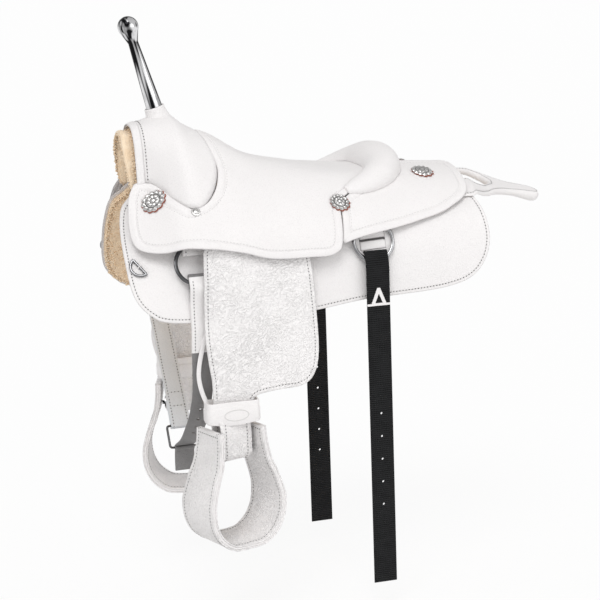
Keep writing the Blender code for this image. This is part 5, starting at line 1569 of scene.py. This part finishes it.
def make_rear_billets():
    x, low_y, _ = REAR_RING.low
    hang_y = low_y + PLY_OUT + HANG_OUT
    tail = [(x, hang_y, z) for z in np.linspace(-0.20, BILLET_END_Z, 13)]
    path = hanging_path(REAR_RING, hang_y, 0.050, tail)
    widths = [BACK_PLY_WIDTH] * 3 + [BILLET_WIDTH] * (len(path) - 3)
    billet = loft("rear_billet_nylon_off",
                  strap_rings(path, ALONG_X, widths, STRAP_PLY, steps=4))
    holes = [(x, hang_y, HOLE_TOP_Z - HOLE_PITCH * k) for k in range(5)]
    punched(billet, holes, HOLE_RADIUS, (0, 1, 0))
    pair(billet, NYLON, "rear_billet_*", "rear_billet_*")


make_rear_billets()

# %% Cinch strap, buckle and near billet
CINCH_WIDTH = 0.044
CINCH_SEAM = 0.0045
CINCH_DROP = 0.036
UPPER_EXTRA_WIDTH, UPPER_EXTRA_THICK = 0.0008, 0.0028
BUCKLE_DIR = unit((0.0, -0.52, -0.85))
BUCKLE_SIDE = unit(np.cross(ALONG_X, BUCKLE_DIR))
BUCKLE_TOP = np.array([-0.278, 0.030, -0.462])
BUCKLE_LONG, BUCKLE_WIDE, BUCKLE_WIRE = 0.050, 0.062, 0.0026
BUCKLE_END = BUCKLE_TOP + BUCKLE_DIR * BUCKLE_LONG
ROLLER_RADIUS, ROLLER_CHAMFER = 0.0055, 0.0008
WEB_HOLES = (-0.372, -0.402, -0.432, -0.452)
WEB_HOLE_RADIUS = 0.0036
CINCH_X = FRONT_RING.centre[0]
CINCH_Y = skirt_y(CINCH_X + CINCH_SWAY, -0.180) + 0.0003 + HALF_PLY


def cinch_path(tail):
    """The strap over the front ring, and then the points (y, z) of its tail."""
    return hanging_path(FRONT_RING, CINCH_Y, CINCH_DROP, [(CINCH_X, y, z) for y, z in tail])


def make_cinch_strap():
    reach = BUCKLE_WIRE + RUNNING_GAP + HALF_PLY
    loop = [BUCKLE_TOP - BUCKLE_SIDE * reach * math.cos(a) + BUCKLE_DIR * reach * math.sin(a)
            for a in (math.pi * k / 4 for k in range(5))]
    path = cinch_path([(CINCH_Y, -0.180), (CINCH_Y, -0.205), (0.198, -0.234)])
    path += [BUCKLE_TOP - BUCKLE_SIDE * reach - BUCKLE_DIR * 0.030] + loop
    path += [BUCKLE_TOP + BUCKLE_SIDE * reach - BUCKLE_DIR * 0.060]
    long_run = [path[10] + (path[11] - path[10]) * share for share in (0.25, 0.5, 0.75)]
    rings = strap_rings(path[:11] + long_run + path[11:], ALONG_X, CINCH_WIDTH, STRAP_PLY,
                        steps=4)
    dress(loft("cinch_strap_hide", rings), SHADED_CINCH_LEATHER, "cinch_loop", "cinch_strap_off")
    rows = strap_rows(rings, CINCH_SEAM, first=8) + cross_rows(rings, (-28, -26), CINCH_SEAM)
    sew("cinch_strap_sewing", rows, "cinch_loop")


def make_buckle_frame():
    half = BUCKLE_WIDE / 2
    corners = [BUCKLE_TOP + (-half, 0, 0), BUCKLE_TOP + (half, 0, 0),
               BUCKLE_END + (half, 0, 0), BUCKLE_END + (-half, 0, 0)]
    path = []
    for k, c in enumerate(corners):
        back, ahead = (unit(p - c) for p in neighbours(corners, k, closed=True))
        for blend in (0.0, 0.2, 0.4, 0.6, 0.8, 1.0):
            path.append(c + (back * (1 - blend) + ahead * blend) * 0.007
                        - (back + ahead) * 0.0020 * math.sin(math.pi * blend))
    frame = wire("buckle_frame_steel", path, BUCKLE_SIDE, BUCKLE_WIRE)
    dress(frame, DARK_STEEL, "cinch_loop", "cinch_buckle_frame")


def make_buckle_roller():
    inner, half = BUCKLE_WIRE + RUNNING_GAP, (BUCKLE_WIDE - 0.020) / 2
    chamfer = ROLLER_RADIUS - ROLLER_CHAMFER
    profile = [(inner, -half), (chamfer, -half), (ROLLER_RADIUS, -half + ROLLER_CHAMFER),
               (ROLLER_RADIUS, half - ROLLER_CHAMFER), (chamfer, half), (inner, half)]
    roller = spun("buckle_roller_steel", profile, 32, hollow=True)
    turn = Matrix.Rotation(math.pi / 2, 4, "Y")
    roller.data.transform(Matrix.Translation(BUCKLE_END) @ turn)
    dress(roller, DARK_STEEL, "buckle_roller", "buckle_roller", angle=30)


def make_cinch_billet():
    wrap = ROLLER_RADIUS + RUNNING_GAP + HALF_PLY
    turn = [BUCKLE_END + BUCKLE_SIDE * wrap * math.cos(a) + BUCKLE_DIR * wrap * math.sin(a)
            for a in (math.radians(d) for d in (200, 160, 120, 80))]
    tail = [(CINCH_Y, -0.180), (CINCH_Y, -0.200), (0.201, -0.245), (0.189, -0.330),
            (0.150, -0.392), (0.100, -0.438), (0.055, -0.472)]
    path = [p * (1, -1, 1) for p in cinch_path(tail)]
    upper = strap_rings(path[5:11], ALONG_X, CINCH_WIDTH + UPPER_EXTRA_WIDTH,
                        STRAP_PLY + UPPER_EXTRA_THICK, steps=4)
    path += turn + [turn[-1] + np.array([0, 0.004, drop]) for drop in (-0.022, -0.046)]
    rings = strap_rings(path, ALONG_X, CINCH_WIDTH, STRAP_PLY, steps=4)
    billet = loft("cinch_billet_webbing", rings)
    for height in WEB_HOLES:
        ring = min(rings[24:], key=lambda r: abs(r[2][2] - height))
        punched(billet, [(ring[2] + ring[8]) / 2], WEB_HOLE_RADIUS, unit(ring[2] - ring[9]))
    dress(billet, PEBBLED_GREY, "cinch_loop", "cinch_billet_near")
    dress(loft("cinch_billet_upper", upper), LEATHER, "cinch_loop")
    sew("cinch_billet_sewing", strap_rows(upper, CINCH_SEAM, first=2), "cinch_loop")


make_cinch_strap()
make_buckle_frame()
make_buckle_roller()
make_cinch_billet()

# %% [markdown]
# A bell stirrup is a band of three plies: a core between a cover and a lining of coarse
# leather, sewn along both edges. The stirrup is turned by 18 degrees, as the photo shows.

# %% Stirrups
STIRRUP_TURN = math.radians(18)
LEATHER_LOW_X = -0.226
BOLT_Y = 0.215
BOLT_Z = -0.460
STIRRUP_BAND = 0.012
NECK_HALF = 0.0585
STIRRUP_HALF = 0.094
STIRRUP_TOP = 0.052
STIRRUP_WIDEST = -0.106
STIRRUP_DROP = 0.202
STIRRUP_FLAT_HALF = 0.030
PLY_OFFSET, PLY_THICK = 0.0043, 0.0034
CORE_THICK, CORE_NARROWER = 0.0060, 0.0022
STIRRUP_SEAM = 0.0085


def stirrup_ply(path, facing, depths, offset, thick, narrower):
    """One layer of the stirrup's band, moved out or in from its middle."""
    moved = []
    for k, p in enumerate(path):
        back, ahead = neighbours(path, k)
        moved.append(p + unit(np.cross(unit(ahead - back), facing)) * offset)
    return strap_rings(moved, facing, [d - narrower for d in depths], thick, steps=1)


def stirrup_outline():
    """Points (across, up) round the stirrup's band, from one tip to the other."""
    band = STIRRUP_BAND / 2
    neck, sole = NECK_HALF - band, -STIRRUP_DROP + band
    half = spline([(neck, STIRRUP_TOP), (neck + .001, STIRRUP_TOP - .030), (.061, -.020),
                   (.0715, -.045), (.083, -.080), (STIRRUP_HALF - band, STIRRUP_WIDEST),
                   (.084, -.142), (.068, -.172),
                   (STIRRUP_FLAT_HALF + .012, -STIRRUP_DROP + .010),
                   (STIRRUP_FLAT_HALF - .010, sole), (0.0, sole)], 4)
    return [(-w, h) for w, h in half] + [(w, h) for w, h in reversed(half[:-1])]


def make_stirrups():
    cos, sin = math.cos(STIRRUP_TURN), math.sin(STIRRUP_TURN)
    across, facing = np.array([cos, -sin, 0.0]), np.array([sin, cos, 0.0])
    centre = np.array([LEATHER_LOW_X, BOLT_Y, BOLT_Z])
    whole = stirrup_outline()
    path = [centre + across * w + np.array([0, 0, h]) for w, h in whole]
    depths = [0.090 + 0.030 * float(ramp(-h, -STIRRUP_TOP, -STIRRUP_WIDEST)) for _, h in whole]
    core = stirrup_ply(path, facing, depths, 0.0, CORE_THICK, CORE_NARROWER)
    pair(loft("stirrup_core_off", core), LEATHER, "stirrup_*")
    for label, offset, narrower, node in (("cover", PLY_OFFSET, 0.0, "stirrup_*"),
                                          ("lining", -PLY_OFFSET, 0.0008, "")):
        rings = stirrup_ply(path, facing, depths, offset, PLY_THICK, narrower)
        pair(loft(f"stirrup_{label}_off", rings), COARSE_LEATHER, "stirrup_*", node)
        rows = strap_rows(rings, STIRRUP_SEAM) + cross_rows(rings, (1, -2), STIRRUP_SEAM)
        sew_pair(f"stirrup_{label}_sewing", rows, "stirrup_*")


make_stirrups()

# %% [markdown]
# The stirrup leather runs down inside the fender, round the stirrup's spool and up again. Its
# slack edge bows out in front of the fender. The hobble strap binds it to the fender's neck.
# The strap's face is widest in the middle, where a plain oval is sewn on it.

# %% Stirrup leathers
LEATHER_X = -0.210
LEATHER_WIDTH, LOOP_WIDTH = 0.060, 0.076
LEATHER_THICK, LOOP_THICK = 0.0070, 0.0045
SPOOL_WRAP = 0.0148 + 0.0009 + LOOP_THICK / 2
LEATHER_RUN = [(.184, -.004), (.184, -.012), (.185, -.024), (.1875, -.032), (.1935, -.046),
               (.1998, -.064), (.2085, -.090), (.2130, -.112), (.215, -.135)]


def spool_loop():
    """Points (out, z) of the leather down to the spool, round it and up again."""
    round_spool = [(-SPOOL_WRAP * math.cos(a), BOLT_Z - SPOOL_WRAP * math.sin(a))
                   for a in (math.radians(d) for d in range(0, 181, 20))]
    return ([(-.0065, -.362), (-.0130, -.395), (-SPOOL_WRAP, -.425), (-SPOOL_WRAP, -.443)]
            + round_spool
            + [(SPOOL_WRAP, -.443), (SPOOL_WRAP, -.425), (.0155, -.398), (.0090, -.370)])


def make_stirrup_leathers():
    path = [(LEATHER_X, y, z) for y, z in LEATHER_RUN]
    path += [(LEATHER_X - .008, .215, -.250), (LEATHER_LOW_X, .215, -.335)]
    ways = [(1.0, 0.0, 0.0)] * len(path)
    loop = spool_loop()
    widths = [.020, .048, .058] + [LEATHER_WIDTH] * 7 + [0.066, 0.074]
    widths += [LOOP_WIDTH] * (len(loop) - 1)
    thicks = [LEATHER_THICK] * len(path) + [LOOP_THICK] * len(loop)
    for out, z in loop:
        angle = STIRRUP_TURN * float(ramp(-z, 0.335, 0.392))
        cos, sin = math.cos(angle), math.sin(angle)
        path.append((LEATHER_LOW_X + sin * out, BOLT_Y + cos * out, z))
        ways.append((cos, -sin, 0.0))
    rings = strap_rings(path, ways, widths, thicks)
    pair(loft("stirrup_leather_hide_off", rings), COARSE_LEATHER, "fender_*",
         "stirrup_leather_*", angle=89)
    sew_pair("stirrup_leather_sewing", strap_rows(rings, 0.0100, first=60), "fender_*")


def make_bowed_edge():
    """The stirrup leather's slack edge, which bows out in front of the fender."""
    path = [(-.256, .2105, -.150), (-.268, .2095, -.200), (-.284, .2085, -.255),
            (-.2895, .2085, -.295), (-.284, .2090, -.330), (-.272, .2100, -.362),
            (-.266, .2105, -.380)]
    edge = loft("stirrup_leather_edge_off", strap_rings(path, ALONG_X, 0.0095, 0.0034))
    pair(edge, LEATHER, "fender_*")


make_stirrup_leathers()
make_bowed_edge()

# %% Hobble straps
HOBBLE_Z = -0.3765
HOBBLE_X = (-.279, -.168)
HOBBLE_Y = (.1940, .2370)
HOBBLE_CORNER = 0.010
HOBBLE_MIDDLE = sum(HOBBLE_X) / 2
OVAL = (0.026, 0.0115)
OVAL_WIRE = 0.0009


def hobble_path(grow, z):
    """A rounded box round the leathers, with extra points on its two long sides."""
    (x_low, x_high), (y_low, y_high) = HOBBLE_X, HOBBLE_Y
    inside_low, inside_high = x_low + HOBBLE_CORNER, x_high - HOBBLE_CORNER
    radius = HOBBLE_CORNER + grow
    path = []
    for cx, cy, start in ((inside_high, y_high - HOBBLE_CORNER, 0),
                          (inside_low, y_high - HOBBLE_CORNER, 90),
                          (inside_low, y_low + HOBBLE_CORNER, 180),
                          (inside_high, y_low + HOBBLE_CORNER, 270)):
        for a in (math.radians(start + 30 * k) for k in range(4)):
            path.append((cx + radius * math.cos(a), cy + radius * math.sin(a), z))
        if start in (0, 180):
            y = y_high + grow if start == 0 else y_low - grow
            for share in (0.2, 0.4, 0.6, 0.8):
                x = inside_high - (inside_high - inside_low) * share
                path.append((x if start == 0 else x_low + x_high - x, y, z))
    return path


def hobble_band(name, grow, thick, tall, ends, shift, node=""):
    """A closed band whose outer face swells from the height of its ends to its full height."""
    path = hobble_path(grow, HOBBLE_Z + shift)
    widths = []
    for x, y, _ in path:
        on_face = y > HOBBLE_Y[1] - 0.006
        bulge = max(0.0, 1 - ((x - HOBBLE_MIDDLE) / 0.056) ** 2) if on_face else 0.0
        widths.append(ends + (tall - ends) * bulge ** 0.7)
    rings = strap_rings(path, (0, 0, 1), widths, thick, closed=True, steps=3)
    pair(loft(name, rings, closed=True), LEATHER, "fender_*", node)


def hobble_oval():
    spots = [(HOBBLE_MIDDLE + 0.004 + OVAL[0] * math.cos(a), HOBBLE_Y[1] + 0.0026,
              HOBBLE_Z - 0.002 + OVAL[1] * math.sin(a))
             for a in np.linspace(0, 2 * math.pi, 48, endpoint=False)]
    oval = wire("hobble_oval_off", spots, np.array([0.0, 1.0, 0.0]), OVAL_WIRE, 8)
    pair(oval, THREAD, "fender_*")


hobble_band("hobble_backing_off", -0.0008, STRAP_PLY, 0.046, 0.046, 0.0030)
hobble_band("hobble_strap_face_off", 0.0014, 0.0022, 0.041, 0.026, -0.0030, "hobble_strap_*")
hobble_oval()

# %% [markdown]
# A rosette is a silver flower on a lobed leather washer. Its dome is a polar grid whose height
# follows two rings of petals and a boss.

# %% Rosettes
ROSETTES = (("front", -.345, .150, .0255), ("middle", .039, .200, .0225),
            ("rear", .262, .086, .0255))
DISC_STEPS = 96
DISC_ROWS = [0.04, 0.10, 0.16, 0.22, 0.28, 0.34, 0.40, 0.46, 0.53, 0.60, 0.67, 0.74, 0.81, 0.88,
             0.95, 1.0]
LOBES = 12
LOBE_DEPTH = 0.13
UNDERSIDE = 0.84


def petals(count, angle):
    """1 along the middle of each petal of a ring, 0 between two of them."""
    return np.abs(np.cos(count / 2 * angle))


def flower_height(rho, angle):
    height = 0.0016 + 0.0042 * (1 - rho**2)
    height += 0.0022 * petals(12, angle) * bell(rho, 0.80, 0.13)
    height -= 0.0012 * bell(rho, 0.60, 0.05)
    height += 0.0014 * petals(8, angle) * bell(rho, 0.40, 0.12)
    return height + 0.0012 * bell(rho, 0.0, 0.12) - 0.0008 * bell(rho, 0.22, 0.04) + 0.0006


def flower_shade(rho, angle):
    """Dark lines between the petals and round the boss."""
    between = (1 - petals(12, angle)) ** 2 * bell(rho, 0.84, 0.15)
    inner = (1 - petals(8, angle)) ** 2 * bell(rho, 0.42, 0.13)
    return between + inner + bell(rho, 0.60, 0.035) + bell(rho, 0.22, 0.035)


def washer_height(rho, angle):
    return np.full(len(angle), 0.0018 - 0.0006 * rho**8)


def disc(name, x, s, radius, heights, depth, marks=None):
    """A closed lobed disc on the seat's surface, from a polar grid of heights."""
    angle = np.linspace(0, 2 * math.pi, DISC_STEPS, endpoint=False)

    def ring(reach, height):
        return TOP.place(x + reach * np.cos(angle), s + reach * np.sin(angle), height)

    rings = [ring(radius * rho * (1 - (LOBE_DEPTH * rho**6) * (1 - petals(LOBES, angle))),
                  heights(rho, angle)) for rho in DISC_ROWS]
    obj = loft(name, rings + [ring(radius * UNDERSIDE, depth)])
    if marks is not None:
        values = np.zeros(len(obj.data.vertices))
        dark = np.concatenate([marks(rho, angle) for rho in DISC_ROWS])
        values[:len(dark)] = np.clip(dark, 0, 1)
        set_shade(obj, values)
    return obj


def make_rosettes():
    for place, x, s, radius in ROSETTES:
        washer = disc(f"{place}_rosette_washer_off", x + 0.0008, s + 0.0016, radius,
                      washer_height, 0.0002)
        pair(washer, RIM_LEATHER, "saddle")
        flower = disc(f"{place}_rosette_flower_off", x, s, radius * 0.95, flower_height, 0.0012,
                      flower_shade)
        pair(flower, SILVER, "saddle", f"{place}_rosette_*", angle=60)


make_rosettes()

# %% Fork screws
SCREW_X, SCREW_S = -0.270, 0.226
SCREW_PROFILE = [(0.0, -0.001), (0.0100, -0.001), (0.0102, 0.0006), (0.0094, 0.0016),
                 (0.0074, 0.0017), (0.0068, 0.0009), (0.0062, 0.0010), (0.0057, 0.0026),
                 (0.0040, 0.0036), (0.0016, 0.0039), (0.0013, 0.0026), (0.0, 0.0025)]


def make_fork_screws():
    screw = spun("fork_screw_off", SCREW_PROFILE, 40)
    normal = Vector(TOP.normal(SCREW_X, SCREW_S)[0])
    turn = normal.to_track_quat("Z", "Y").to_matrix().to_4x4()
    screw.data.transform(Matrix.Translation(TOP.place(SCREW_X, SCREW_S)[0]) @ turn)
    pair(screw, SILVER, "saddle", angle=40)


make_fork_screws()

# %% Breast rings
BREAST_X, BREAST_S = -.392, .252
BREAST_RADIUS, BREAST_WIRE = 0.0220, 0.0028
BREAST_LONG = BREAST_RADIUS * 1.05
BREAST_ENDS = math.radians(78)
TAB_WIDTH, TAB_THICK = 0.0022, 0.0012


def breast_ring_ways():
    """The skirt's direction out of it, the ring's straight bar, and the way its bow points."""
    normal = SKIRT.normal(BREAST_X, BREAST_S)[0]
    behind, before = (SKIRT.place(BREAST_X + step, BREAST_S)[0] for step in (.01, -.01))
    along = unit(behind - before)
    down = np.cross(along, normal)
    down = unit(down if down[2] < 0 else -down)
    bar = unit(along * 0.75 + down * 0.66)
    bow = unit(np.cross(normal, bar))
    return normal, bar, bow if np.dot(bow, along) < 0 else -bow


def make_breast_rings():
    normal, bar, bow = breast_ring_ways()
    flat_back = bow * BREAST_LONG * math.cos(BREAST_ENDS)
    middle = (SKIRT.place(BREAST_X, BREAST_S)[0] + normal * 0.0034 - bow * 0.006
              + bow * 0.0178 * 1.05 * math.cos(BREAST_ENDS))
    centre = middle - flat_back
    path = [centre + bow * BREAST_LONG * math.cos(a) + bar * BREAST_RADIUS * math.sin(a)
            for a in np.linspace(-BREAST_ENDS, BREAST_ENDS, 33)]
    first, last = path[-1], path[0]
    path += [first + (last - first) * share for share in (0.03, 0.08, 0.25, 0.5, 0.75, 0.92, 0.97)]
    ring = wire("breast_ring_wire_off", path, normal, BREAST_WIRE)
    pair(ring, SMOKED_CHROME, "breast_ring_*", "breast_ring_*", angle=70)
    reach = BREAST_WIRE + RUNNING_GAP + 0.0008
    clip = [middle - bow * 0.006 - normal * reach * 0.6,
            middle - bow * reach + normal * reach * 0.3,
            middle + normal * reach, middle + normal * reach * 0.7 + bow * reach * 0.7,
            middle + bow * reach]
    tab = loft("breast_ring_tab_off", strap_rings(clip, bar, TAB_WIDTH, TAB_THICK, steps=3))
    pair(tab, LEATHER, "saddle", "breast_ring_clip_*")


make_breast_rings()

# %% [markdown]
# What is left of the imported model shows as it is: the tree, the seat's foam and strainer, and
# small parts whose solids already have their full shape. They only get their material.

# %% Carried nodes
CARRIED = (("tree_", TREE_WOOD), ("seat_foam", PAD_FOAM), ("seat_strainer", STEEL),
           ("rivet", CHROME), ("bolt", STEEL))

for name, node in NODES.items():
    if not node.hide_render:
        for slot in node.material_slots:
            slot.material = next((mat for word, mat in CARRIED if word in name), LEATHER)
